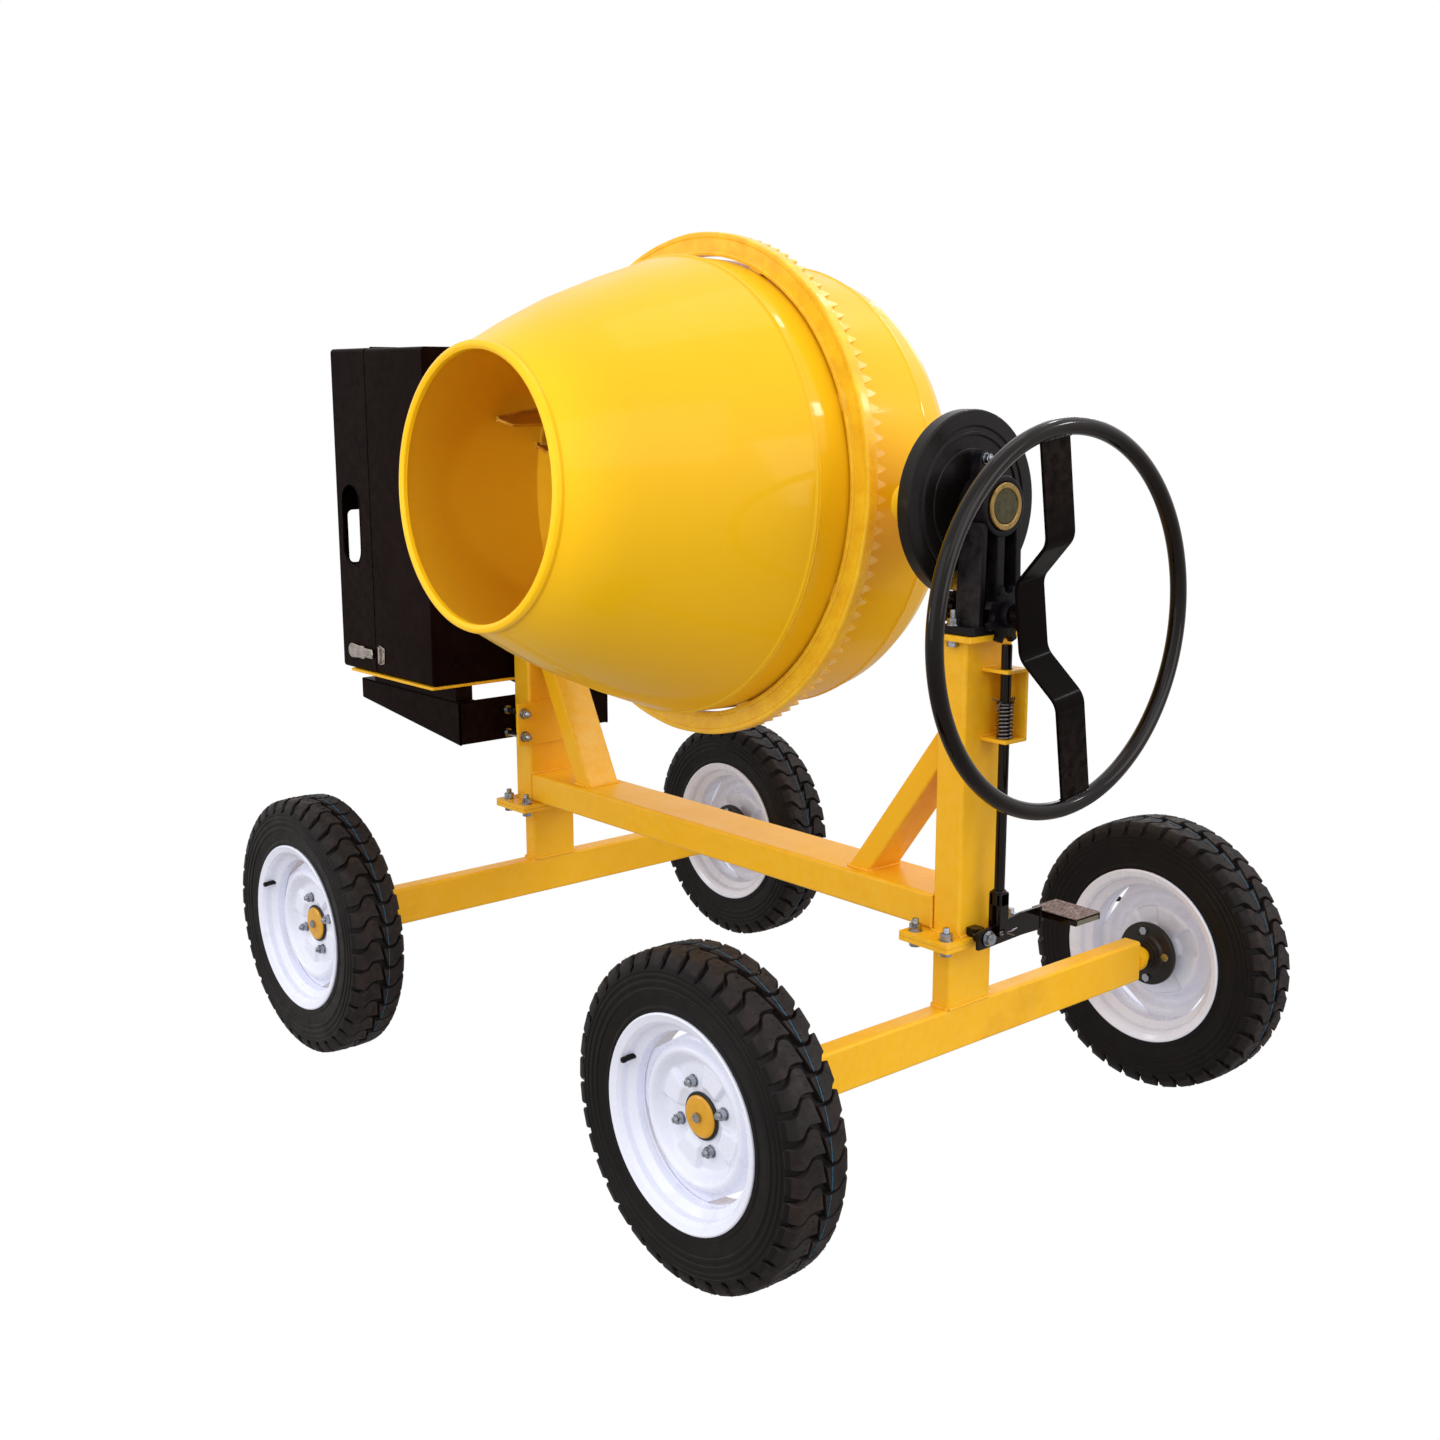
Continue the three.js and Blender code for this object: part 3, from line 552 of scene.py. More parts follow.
# ------------------------------------------------------------------ materials
def lin(h):
    c = [int(h[i:i + 2], 16) / 255 for i in (1, 3, 5)]
    return [x / 12.92 if x <= 0.04045 else ((x + 0.055) / 1.055) ** 2.4 for x in c] + [1.0]
def material(name, base, rough=0.4, metal=0.0, spec=0.5, coat=0.0, coat_rough=0.1, var=None, var_scale=6.0, var_amt=0.5, rough_var=0.08,
             bumps=((40, 0.02),), dirt=None, dirt_amt=0.0, dirt_scale=3.0, edge=None, edge_amt=0.0, stretch=None):
    """principled surface with colour drift, roughness drift, layered bump, dirt patches and lighter convex edges (a
    painted highlight, on some finishes also wear), all from noise in object space
    """
    m = bpy.data.materials.new(name); m.use_nodes = True
    nt = m.node_tree; N, L = nt.nodes, nt.links
    b = N["Principled BSDF"]
    b.inputs["Metallic"].default_value = metal
    b.inputs["Specular IOR Level"].default_value = spec
    b.inputs["Coat Weight"].default_value = coat
    b.inputs["Coat Roughness"].default_value = coat_rough
    tc = N.new("ShaderNodeTexCoord"); src = tc.outputs["Object"]
    if stretch:
        mp = N.new("ShaderNodeMapping"); mp.inputs["Scale"].default_value = stretch
        L.new(src, mp.inputs["Vector"]); src = mp.outputs["Vector"]
    def noise(scale, detail=4.0, rough_=0.6):
        n = N.new("ShaderNodeTexNoise"); n.inputs["Scale"].default_value = scale
        n.inputs["Detail"].default_value = detail; n.inputs["Roughness"].default_value = rough_
        L.new(src, n.inputs["Vector"]); return n.outputs["Fac"]
    def ramp(fac, a, c, ca=(0, 0, 0, 1), cc=(1, 1, 1, 1)):
        r = N.new("ShaderNodeValToRGB"); r.color_ramp.elements[0].position = a; r.color_ramp.elements[1].position = c
        r.color_ramp.elements[0].color = ca; r.color_ramp.elements[1].color = cc
        L.new(fac, r.inputs["Fac"]); return r.outputs["Color"]
    def mix(fac, a, c):
        x = N.new("ShaderNodeMix"); x.data_type = "RGBA"
        if hasattr(fac, "is_output"): L.new(fac, x.inputs[0])
        else: x.inputs[0].default_value = fac
        for s, k in ((a, 6), (c, 7)):
            if hasattr(s, "is_output"): L.new(s, x.inputs[k])
            else: x.inputs[k].default_value = s
        return x.outputs[2]
    base = lin(base) if isinstance(base, str) else base
    var = lin(var) if isinstance(var, str) else (var or [c * 0.86 for c in base[:3]] + [1])
    col = mix(ramp(noise(var_scale), 0.5 - var_amt / 2, 0.5 + var_amt / 2), base, var)
    rsock = None
    if dirt:
        dirt = lin(dirt) if isinstance(dirt, str) else dirt
        f = ramp(noise(dirt_scale, 8.0, 0.7), 0.62 - 0.3 * dirt_amt, 0.86 - 0.3 * dirt_amt)
        col = mix(f, col, dirt)
    # lighter colour on convex edges from Pointiness: a painted highlight along the edges, which on the castings, guard
    # and hub also stands for wear
    if edge:
        edge = lin(edge) if isinstance(edge, str) else edge
        g = N.new("ShaderNodeNewGeometry")
        f = ramp(g.outputs["Pointiness"], 0.53, 0.60)
        mul = N.new("ShaderNodeMath"); mul.operation = "MULTIPLY"; L.new(f, mul.inputs[0])
        L.new(ramp(noise(55), 0.35, 0.65), mul.inputs[1])
        mul2 = N.new("ShaderNodeMath"); mul2.operation = "MULTIPLY"; L.new(mul.outputs[0], mul2.inputs[0]); mul2.inputs[1].default_value = edge_amt
        col = mix(mul2.outputs[0], col, edge)
    L.new(col, b.inputs["Base Color"])
    mr = N.new("ShaderNodeMapRange")
    L.new(noise(var_scale * 2.3, 6.0), mr.inputs["Value"])
    mr.inputs["From Min"].default_value, mr.inputs["From Max"].default_value = 0.3, 0.7
    mr.inputs["To Min"].default_value, mr.inputs["To Max"].default_value = max(0.03, rough - rough_var), min(1, rough + rough_var)
    L.new(mr.outputs["Result"], b.inputs["Roughness"])
    prev = None
    for sc, dist in bumps:
        bp = N.new("ShaderNodeBump"); bp.inputs["Distance"].default_value = dist * 0.001 * 10; bp.inputs["Strength"].default_value = 0.6
        L.new(noise(sc, 3.0), bp.inputs["Height"])
        if prev is not None: L.new(prev, bp.inputs["Normal"])
        prev = bp.outputs["Normal"]
    if prev is not None: L.new(prev, b.inputs["Normal"])
    return m

# The edge colours below are lighter than their base. On the yellow paints, black sheet, bar, handwheel and tread they
# are a painted highlight along convex edges. On the guard, castings, hub and engine they are partly wear and partly
# painted highlight.
YEL = material("paint_yellow", "#F4BE14", 0.34, 0, 0.1, 0.26, 0.07, var="#EFB812", var_scale=4, var_amt=0.9, bumps=((7, 0.05), (150, 0.010)), edge="#FFE07A", edge_amt=0.3)
YFR = material("paint_yellow_frame", "#F9BC18", 0.36, 0, 0.2, 0.05, 0.15, var="#F2B014", var_scale=7, var_amt=0.6, bumps=((14, 0.05), (260, 0.02)), edge="#FFDA70", edge_amt=0.35, dirt="#D99A12", dirt_amt=0.15)
# the casting paint is a brighter copy of the yellow paint: painted light that lifts the ring gear and tilt gear out of
# their shade. Its pale edge colour is a painted highlight.
YCAST_LIT = material("paint_on_casting", "#FFD22C", 0.3, 0, 0.3, 0.2, 0.12, var="#EDAE1C", var_scale=30, var_amt=0.6, bumps=((70, 0.10), (260, 0.09)), edge="#FFE09A", edge_amt=0.6)
# the drum-inside paint is a brighter copy of the yellow paint: painted light that lifts the shaded inside of the drum.
# Its darker patches are dirt.
INSIDE_LIT = material("drum_inside", "#FFD42E", 0.62, 0, 0.25, 0, 0.3, var="#FFCC26", var_scale=3, var_amt=0.9, bumps=((10, 0.03), (120, 0.01)), dirt="#F0B01A", dirt_amt=0.1)
BOX = material("sheet_black", "#0A0302", 0.36, 0, 0.02, 0, 0.2, var="#140605", var_scale=3, var_amt=0.8, bumps=((20, 0.03), (300, 0.012)), edge="#3A2A28", edge_amt=0.4, dirt="#1E1412", dirt_amt=0.2)
BARBLK = material("bar_black", "#050302", 0.3, 0, 0.02, 0.03, 0.08, var="#0C0504", var_scale=9, var_amt=0.6, bumps=((30, 0.03), (200, 0.008)), edge="#3A302A", edge_amt=0.3)
WHEELBLK = material("handwheel_black", "#040203", 0.2, 0, 0.08, 0.34, 0.05, var="#140A06", var_scale=9, var_amt=0.6, bumps=((30, 0.03), (200, 0.008)), edge="#2B211C", edge_amt=0.2)
# the blade paint is a darker copy of the yellow paint, painted shade for the blades inside the drum. Its pale edge
# colour is a painted highlight on the blade edges.
BLADE_SHADED = material("blade_paint", "#B57A10", 0.5, 0, 0.3, 0.1, 0.3, var="#A06A0C", var_scale=14, var_amt=0.8, bumps=((20, 0.05), (200, 0.03)), edge="#F0C050", edge_amt=0.8)
GRD = material("guard_black", "#090606", 0.3, 0, 0.14, 0.16, 0.16, var="#161010", var_scale=12, var_amt=0.6, bumps=((45, 0.03), (240, 0.015)), dirt="#241A17", dirt_amt=0.25, edge="#3A2C26", edge_amt=0.5)
CAST = material("casting_black", "#0A080C", 0.42, 0, 0.16, 0, 0.2, var="#120E14", var_scale=25, var_amt=0.6, bumps=((70, 0.09), (260, 0.04)), dirt="#1A1414", dirt_amt=0.12, dirt_scale=16, edge="#3E3634", edge_amt=0.35)
ZINC = material("zinc", "#B9BDC4", 0.26, 1.0, 0.5, var="#8C9098", var_scale=60, var_amt=0.7, bumps=((200, 0.02),), dirt="#6C675F", dirt_amt=0.25, dirt_scale=60)
CHROME = material("latch_chrome", "#C9C2BC", 0.16, 1.0, 0.5, var="#8E7F76", var_scale=60, var_amt=0.6, bumps=((160, 0.015),))
BRASS = material("bushing_bronze", "#B3935A", 0.36, 1.0, 0.5, var="#8E7444", var_scale=90, var_amt=0.7, bumps=((300, 0.03),), dirt="#4A3A22", dirt_amt=0.3, dirt_scale=60)
OLIVE = material("trunnion_end", "#565038", 0.5, 0.6, 0.4, var="#45402A", var_scale=60, var_amt=0.8, bumps=((400, 0.04),), dirt="#2E2A1E", dirt_amt=0.4, dirt_scale=80)
TREAD = material("rubber_tread", "#1A1516", 0.6, 0, 0.22, var="#0F0B0C", var_scale=30, var_amt=0.7, rough_var=0.15, bumps=((90, 0.06), (400, 0.03)), dirt="#2E221D", dirt_amt=0.4, dirt_scale=12, edge="#3B302C", edge_amt=0.5)
HAIR = material("rubber_hair", "#4A403C", 0.6, 0, 0.3, var="#2A2422", var_scale=80, var_amt=0.6)
SIDE = material("rubber_side", "#070505", 0.46, 0, 0.16, var="#120D0C", var_scale=18, var_amt=0.7, rough_var=0.1, bumps=((60, 0.02), (500, 0.015)), dirt="#1A1413", dirt_amt=0.3, dirt_scale=7)
BLUE = material("tyre_line", "#2A6C8A", 0.6, 0, 0.3, var="#16384C", var_scale=60, var_amt=0.9, bumps=((90, 0.04),))
WHITE = material("rim_white", "#F0F2FF", 0.26, 0, 0.5, 0.3, 0.08, var="#E6E9FA", var_scale=10, var_amt=0.8, bumps=((18, 0.05), (220, 0.01)), dirt="#CFD0E0", dirt_amt=0.08, dirt_scale=9)
HUBBLK = material("hub_black", "#0E0B0B", 0.4, 0, 0.4, var="#1A1413", var_scale=30, var_amt=0.6, bumps=((80, 0.05),), dirt="#2E2622", dirt_amt=0.3, dirt_scale=20, edge="#4A403A", edge_amt=0.4)
CAPY = material("hub_cap_yellow", "#E8A80C", 0.35, 0, 0.5, 0.2, 0.1, var="#D29408", var_scale=40, var_amt=0.7, bumps=((80, 0.03),), dirt="#6A4A10", dirt_amt=0.2, dirt_scale=50)
PAD = material("pedal_tread", "#8A7470", 0.7, 0.2, 0.4, var="#5A4A48", var_scale=70, var_amt=0.5, bumps=((160, 0.25), (420, 0.1)), dirt="#B0A29E", dirt_amt=0.4, dirt_scale=120)
# the pedal-side olive-grey is painted light on the lit +X side of the folded pad
PAD_LIT_SIDE = material("pedal_side", "#7C7462", 0.5, 0.3, 0.4, var="#5F584A", var_scale=40, var_amt=0.7, bumps=((120, 0.06),), dirt="#3E362C", dirt_amt=0.3, dirt_scale=60)
SPRING = material("spring_steel", "#8E8A8C", 0.3, 1.0, 0.5, var="#5E5654", var_scale=120, var_amt=0.7, bumps=((200, 0.02),))
ENG = material("engine_grey", "#3A3B3E", 0.5, 0.5, 0.4, var="#2A2A2C", var_scale=30, var_amt=0.6, bumps=((60, 0.08), (240, 0.04)), edge="#6A6A6C", edge_amt=0.4)
BELT = material("belt_rubber", "#141212", 0.75, 0, 0.3, var="#1E1A1A", var_scale=80, var_amt=0.6, bumps=((300, 0.05),))

# ------------------------------------------------------------------ frame: posts, beam, braces, flanges, axles
mx = lambda v: v * np.array([-1.0, 1, 1])
p = Piece()
p.put(prism("x", rect(-60, 60, 445, 507, 6), -605.9, 605.9, 0.3))
for s in (-1, 1):
    for (a, b) in (((s * 605, -61, 447), (s * 605, -61, 505)), ((s * 605, -58, 508), (s * 605, 58, 508)), ((s * 605, 61, 447), (s * 605, 61, 505)), ((s * 605, -58, 444.6), (s * 605, 58, 444.6))):
        weld(p, a, b, 2.6, seed=int(abs(a[1])))
p.obj("beam", "frame", YFR, "yellow_paint", ["main_beam"])
for side, s, seat in (("right", 1, 690), ("left", -1, 678)):
    T = None if s > 0 else mx
    p = Piece()
    p.put(prism("z", rect(606, 666, -60, 60, 7, 5), 445, 953, 0.4), 0, T)
    p.put(prism("z", rect(612, seat, -78, 78, 2.5), 952, 962, 1.0), 0, T)
    for a, b in (((608, -61, 951), (664, -61, 951)), ((608, 61, 951), (664, 61, 951)), ((667, -57, 951), (667, 57, 951))):
        weld(p, [a[0] * s, a[1], a[2]], [b[0] * s, b[1], b[2]], 2.6)
    p.obj("post_" + side + "_tube", "frame", YFR, "yellow_paint", ["post_" + side])
    p = Piece()
    p.put(prism("z", rect(570, 682, -106, 106, 4), 436.7, 444.7, 0.8), 0, T)
    for a, b in (((607, -61.5, 445.5), (665, -61.5, 445.5)), ((607, 61.5, 445.5), (665, 61.5, 445.5)), ((667.5, -58, 445.5), (667.5, 58, 445.5))):
        weld(p, [a[0] * s, a[1], a[2]], [b[0] * s, b[1], b[2]], 3.0)
    p.obj("flange_upper_" + side + "_plate", "frame", YFR, "yellow_paint", ["flange_upper_" + side])
    p = Piece()
    p.put(prism("z", rect(603, 643, -55, 55, 6, 5), 306.5, 428.6, 0.3), 0, T)
    p.put(prism("z", rect(570, 682, -106, 106, 4), 428.4, 436.4, 0.8), 0, T)
    for sgn in (-1, 1):
        weld(p, [(605) * s, 56 * sgn, 308], [641 * s, 56 * sgn, 308], 2.8)
        weld(p, [(623 + 20.5 * sgn) * s, -53, 308], [(623 + 20.5 * sgn) * s, 53, 308], 2.8)
        weld(p, [(605) * s, 56 * sgn, 427.6], [641 * s, 56 * sgn, 427.6], 2.6)
        weld(p, [(623 + 20.5 * sgn) * s, -53, 427.6], [(623 + 20.5 * sgn) * s, 53, 427.6], 2.6)
    p.obj("stub_" + side + "_tube", "frame", YFR, "yellow_paint", ["stub_" + side])
    p = Piece()
    p.put(prism("y", rect(603, 643, 227, 307, 6, 5), -500, 500, 0.5), 0, T)
    p.obj("axle_" + side + "_tube", "frame", YFR, "yellow_paint", ["axle_" + side])
    # flange bolts: nut and stud end above, head below
    p = Piece()
    for i, (x, y) in enumerate(((590, -84), (660, -84), (590, 84), (660, 84))):
        bolt(p, (x * s, y, 444.7), "z", 12, 19, 10, True, 9, spin=17 * i + 5)
        bolt(p, (x * s, y, 428.4), "-z", 12, 19, 8, True, 0, spin=11 * i)
    p.obj("flange_bolts_" + side, "frame", ZINC, "bright_steel")
def brace(name, xf0, xf1, deg, s, node):
    t = math.tan(deg * D); X, zb = 605.7, 507.3
    P = [(xf0, zb), (xf1, zb), (X, zb + (X - xf1) * t), (X, zb + (X - xf0) * t)]
    p = Piece()
    T = None if s > 0 else mx
    p.put(prism("y", P, -40, 40, 5, k=4), 0, T)
    for y in (-41, 41):
        weld(p, [xf0 * s, y, zb + 1], [xf1 * s, y, zb + 1], 2.8)
        weld(p, [(X - 0.5) * s, y, P[2][1]], [(X - 0.5) * s, y, P[3][1]], 2.8)
    weld(p, [(xf0 - 1) * s, -39, zb + 1], [(xf0 - 1) * s, 39, zb + 1], 2.8)
    weld(p, [(xf1 + 1) * s, -39, zb + 1], [(xf1 + 1) * s, 39, zb + 1], 2.8)
    weld(p, [(X - 1) * s, -39, P[3][1] + 1], [(X - 1) * s, 39, P[3][1] + 1], 2.8)
    p.obj(name, "frame", YFR, "yellow_paint", [node])
brace("brace_right_tube", 382, 434, 53.5, 1, "brace_right")
brace("brace_left_tube", 411, 462, 62.5, -1, "brace_left")

# ------------------------------------------------------------------ wheels
def tyre_mesh():
    p = Piece()
    half = [(164, 43), (164, 49.5, 2), (172.5, 52, 1.5), (179, 53.2, 1.5), (183, 52.2, 1), (199, 54.2, 8), (203, 54.4, 1), (205, 56.0, .8), (209, 56.1, .8), (211, 54.7, 1), (215, 54.8, 1), (217, 56.2, .8), (221, 56.2, .8), (223, 54.8, 1), (226.5, 54.8, 1), (228, 56.0, .8), (231, 56.0, .8), (232.5, 54.6, .5),
            (235, 54.4, .5), (236.5, 55.4, .6), (239, 55.2, .6), (240.5, 53.8, .5), (244, 51.2, 2), (249, 47, 3), (253.5, 41, 3), (256.5, 30, 6), (257, 18)]
    prof = [(r, -y, *f) for r, y, *f in half] + [(257, 0)] + [(r, y, *f) for r, y, *f in reversed(half)] + [(200, 46, 4), (238, 44, 6), (248, 20, 4), (248, -20, 4), (238, -44, 6), (200, -46, 4)]
    p.put(lathe(prof, "y", (0, 0), 144, 0, 3), 1)
    N = 38; pitch = 2 * math.pi / N
    P2 = 262.0 * pitch / 2
    hook = lambda y: float(np.interp(y, [2, 12, 22, 30, 36, 42, 48, 56], [15, 18.5, 19.5, 14, 4, 0.5, 0, 0])) - 9
    # station: distance from the centre line, half width, top radius, base radius, slant of the inner edge
    st = [(3.6, -6.5, 264.8, 256, 0.24), (4.8, -3.9, 266.7, 256, 0.24), (6.4, -3.4, 266.9, 256, 0.22), (12, -2.6, 266.8, 256, 0.14), (18, -2.5, 266.6, 256, 0.06), (24, -2.6, 266.4, 256, 0), (29, -3.0, 266.0, 255, 0), (34, -4.0, 265.7, 255, 0),
          (38.5, -5.0, 265.3, 254, 0), (43.0, -5.8, 264.4, 253, 0), (45.6, -6.2, 262.4, 252, 0), (50.0, -6.4, 257.2, 248, 0), (53.6, -6.6, 250.5, 244, 0), (55.4, -7.4, 243.4, 240, 0), (55.6, -9.0, 240.0, 238.6, 0)]
    def section(th, y, hw, rt, rb, sl, side):
        out = []
        for u, r in ((-hw - 1.4, rb), (-hw, rt - 1.3), (-hw + 1.2, rt), (hw - 1.2, rt), (hw, rt - 1.3), (hw + 1.4, rb)):
            a = th + side * u / 262.0
            out.append((r * math.cos(a), side * (y + sl * u), r * math.sin(a)))
        return out
    rg = np.random.RandomState(11)
    for side in (-1, 1):
        for i in range(N):
            th = i * pitch
            v, f = loft([section(th + side * hook(y) / 262, y, P2 + k, rt, rb, sl, side) for y, k, rt, rb, sl in st])
            m = [(1 if (k // 6) >= 12 and k < 84 else 0) for k in range(len(f))]
            p.put((v, f), m)
            # sipes and moulding hairs
            for y, u, l in ((12, -7, 6), (15, 7, 6), (33, -9, 5)):
                c = th + side * (hook(y) + u) / 262
                q0, q1 = [], []
                for w, dy in ((-1, -l / 2), (1, l / 2)):
                    yv = y + dy; h = 267.2 if y < 30 else 265.9
                    sec = [(r * math.cos(c + side * (w * 1.2 + e) / 262), side * yv, r * math.sin(c + side * (w * 1.2 + e) / 262)) for e, r in ((-0.5, 262), (-0.3, h), (0.3, h), (0.5, 262))]
                    (q0 if w < 0 else q1).extend(sec)
                p.put(loft([q0, q1]), 0)
            for y in (9, 26, 40):
                c = th + side * (hook(y) + rg.uniform(-12, 12)) / 262
                base = np.array([264 * math.cos(c), side * y, 264 * math.sin(c)]); n = np.array([math.cos(c), rg.uniform(-0.4, 0.4), math.sin(c)])
                p.put(tube([base, base + n / np.linalg.norm(n) * rg.uniform(2.4, 3.3)], 0.35, 5), 3)
    # painted line round the tread, carried over the blocks of one row
    for i in range(N):
        c0 = i * pitch - hook(11) / 262; e = (P2 - 3.2) / 262
        ring = [c0 + t * e for t in np.linspace(-1, 1, 7)]
        p.put(loft([[(r * math.cos(t), y, r * math.sin(t)) for y, r in ((-11.9, 266.2), (-11.9, 267.0), (-10.7, 267.0), (-10.7, 266.2))] for t in ring]), 2)
    return p
def disc_mesh(th0, thw):
    """pressed wheel disc: four flats leave windows at the barrel, four raised pads between the studs"""
    rs = [34, 36, 44, 50, 53, 57, 62, 68, 74, 79, 83, 86, 89, 92, 95, 98, 101, 104, 107, 110, 113, 116, 119, 122, 126, 130, 134]
    nt = 180
    def zf(r, th):
        base = np.interp(r, [34, 78, 84, 90, 96, 102, 108, 114, 119, 125, 140], [5, 5, 4.2, 7.5, 17, 24.5, 25.8, 22, 15, 11, 9.5])
        a = (th - th0 - math.pi / 4) % (math.pi / 2)
        a = min(a, math.pi / 2 - a)
        w = 0.40 - 0.002 * (r - 60)
        ss = lambda x: 0 if x <= 0 else 1 if x >= 1 else x * x * (3 - 2 * x)
        return base + 7.5 * ss((w - a) * r / 6.0) * ss((r - 47) / 5) * ss((92 - r) / 7)
    top, bot = [], []
    for j in range(nt):
        th = 2 * math.pi * j / nt
        q = (th - thw + math.pi / 4) % (math.pi / 2) - math.pi / 4
        ro = min(138.2, 123.5 / math.cos(q))
        col = [r for r in rs if r < ro - 1.5] 
        col = rs[:-1] + [ro]
        col = [min(r, ro - 1.0 * (len(col) - 1 - i) * 0.35) for i, r in enumerate(col)]
        top.append([(r * math.cos(th), zf(r, th), r * math.sin(th)) for r in col])
        bot.append([(r * math.cos(th), zf(r, th) - 4, r * math.sin(th)) for r in reversed(col)])
    m = len(top[0])
    V = np.array([t + b for t, b in zip(top, bot)], float).reshape(-1, 3)
    n2 = 2 * m; F = []
    for j in range(nt):
        j2 = (j + 1) % nt
        for k in range(n2):
            k2 = (k + 1) % n2
            F.append((j * n2 + k, j2 * n2 + k, j2 * n2 + k2, j * n2 + k2))
    return V, F
def wheel(tag, sx, sy):
    c = np.array([sx * 623.0, sy * 585.0, 267.0])
    T = lambda v: v * np.array([1, sy, 1]) + c
    body = "wheel_" + tag
    tyre_mesh().obj("tyre_" + tag + "_treaded", body, [TREAD, SIDE, BLUE, HAIR], "tyre_rubber", ["tyre_" + tag], T, smooth=40)
    p = Piece()
    prof = [(172, 51.5, 1), (172.3, 55, 1.6), (169.5, 57, 2), (166.5, 55.6, 2), (157.5, 52.0, 3), (152.5, 46, 3), (151, 36, 3), (137.5, 27, 4), (136.8, -24, 4), (151, -34, 3), (152.5, -46, 3), (157.5, -52, 3), (166.5, -55.6, 2), (169.5, -57, 2), (172.3, -55, 1.6), (172, -51.5, 1),
            (161, -48.5, 2), (156, -44, 2), (155, -36, 3), (141, -26, 4), (141.2, 28, 4), (155, 39, 3), (156, 45, 2), (161, 49.5, 2)]
    p.put(lathe(prof, "y", (0, 0), 144, 0, 4))
    p.put(disc_mesh((22 if sy < 0 else -22) * D, (32 if sy < 0 else -32) * D))
    ring_weld(p, "y", (0, 0), 12, 137.2, 1.8, 200)
    p.obj("rim_" + tag + "_pressed", body, WHITE, "wheel_white", ["rim_" + tag], T, smooth=50)
    # hub: barrel, inner flange and its bolts
    p = Piece()
    p.put(lathe([(15.6, -48, .6), (24, -48, 1), (24, -46.6, .5), (30, -46.6, .5), (30, -44, .8), (38, -43.5, 2), (42, -39, 2), (61, -36.5, 2), (62.5, -34, 1.5), (62.5, -27, 1.2), (34, -25, 2), (34, 0.6, .6), (15.6, 0.6, .6)], "y", (0, 0), 72, 0, 3))
    p.obj("hub_" + tag + "_cast", body, HUBBLK, "black_paint", ["hub_" + tag], T)
    p = Piece()
    a0 = (22 if sy < 0 else -22) * D
    for k in range(4):
        a = a0 + k * math.pi / 2
        x, z = 55 * math.cos(a), 55 * math.sin(a)
        bolt(p, (x, 5.0, z), "y", 10, 16, 8, True, 6, spin=20 * k)
        x, z = 47 * math.cos(a + 0.5), 47 * math.sin(a + 0.5)
        hexa(p, (x, -37.6, z), "-y", 15, 6, 10 * k)
    p.obj("wheel_nuts_" + tag, body, ZINC, "bright_steel", (), T)
    p = Piece()
    p.put(lathe([(0.01, 5.2), (38, 5.2, .8), (38.5, 8, 1), (36.5, 9.5, 1), (0.01, 9.5)], "y", (0, 0), 64, 0, 3, closed=False), 0)
    p.put(lathe([(0.01, 9.2), (33.5, 9.2, .5), (33.5, 11.5, 1.5), (30, 13.2, 2), (0.01, 14.2)], "y", (0, 0), 64, 0, 4, closed=False), 1)
    hexa(p, (0, 14.0, 0), "y", 14, 6.5, 12, 2)
    p.obj("hub_cap_" + tag, body, [HUBBLK, CAPY, ZINC], "yellow_paint", (), T)
    # valve
    p = Piece()
    a = 155 * D
    d = np.array([math.cos(a), 0, math.sin(a)])
    at = lambda r, y: d * r + np.array([0, y, 0])
    p.put(tube([at(150, 29.5), at(149.4, 33), at(148.6, 40), at(147.8, 48), at(147.2, 54), at(147, 57.5)], [6.6, 5.2, 4.7, 4.6, 4.6, 4.4], 18), 0)
    p.put(tube([at(147.3, 51.5), at(147.1, 55.6)], 5.1, 18), 0)
    p.obj("valve_" + tag, body, SIDE, "tyre_rubber", (), T)
    # spindle
    p = Piece()
    p.put(lathe([(0.01, -84.7), (26, -84.7, 1), (26, -66, 2), (19, -64, 2), (15, -62, 1), (15, 3.8, .8), (0.01, 3.8)], "y", (0, 0), 48, 0, 3, closed=False), 0)
    p.obj("spindle_" + tag + "_turned", "frame", YFR, "bright_steel", ["spindle_" + tag], T)
for tag, sx, sy in (("front_right", 1, -1), ("back_right", 1, 1), ("front_left", -1, -1), ("back_left", -1, 1)):
    wheel(tag, sx, sy)

# ------------------------------------------------------------------ tilt side: pedestals, bushings, guard, disc, handwheel
def cut(o, cutter):
    """takes the cutter's solid out of o, and drops the cutter"""
    m = o.modifiers.new("cut", "BOOLEAN"); m.operation = "DIFFERENCE"; m.solver = "EXACT"; m.object = cutter
    for i, k in enumerate(o.modifiers):
        if k.type == "WEIGHTED_NORMAL": o.modifiers.remove(k); break
    dg = bpy.context.evaluated_depsgraph_get()
    me = bpy.data.meshes.new_from_object(o.evaluated_get(dg))
    o.modifiers.clear()
    o.data = me
    me.shade_smooth(); me.set_sharp_from_angle(angle=32 * D)
    w = o.modifiers.new("wn", "WEIGHTED_NORMAL"); w.keep_sharp = True; w.weight = 60
    bpy.data.objects.remove(cutter)
def raw(vf, name="cutter", mat=None):
    v, f = vf
    me = bpy.data.meshes.new(name)
    me.from_pydata(((np.array(v) + np.array([SX, 0, 0])) / 1000).tolist(), [], [tuple(int(i) for i in q) for q in f])
    if mat: me.materials.append(mat)
    import bmesh as _b
    bm = _b.new(); bm.from_mesh(me); _b.ops.recalc_face_normals(bm, faces=bm.faces); bm.to_mesh(me); bm.free()
    o = bpy.data.objects.new(name, me); scene.collection.objects.link(o)
    return o
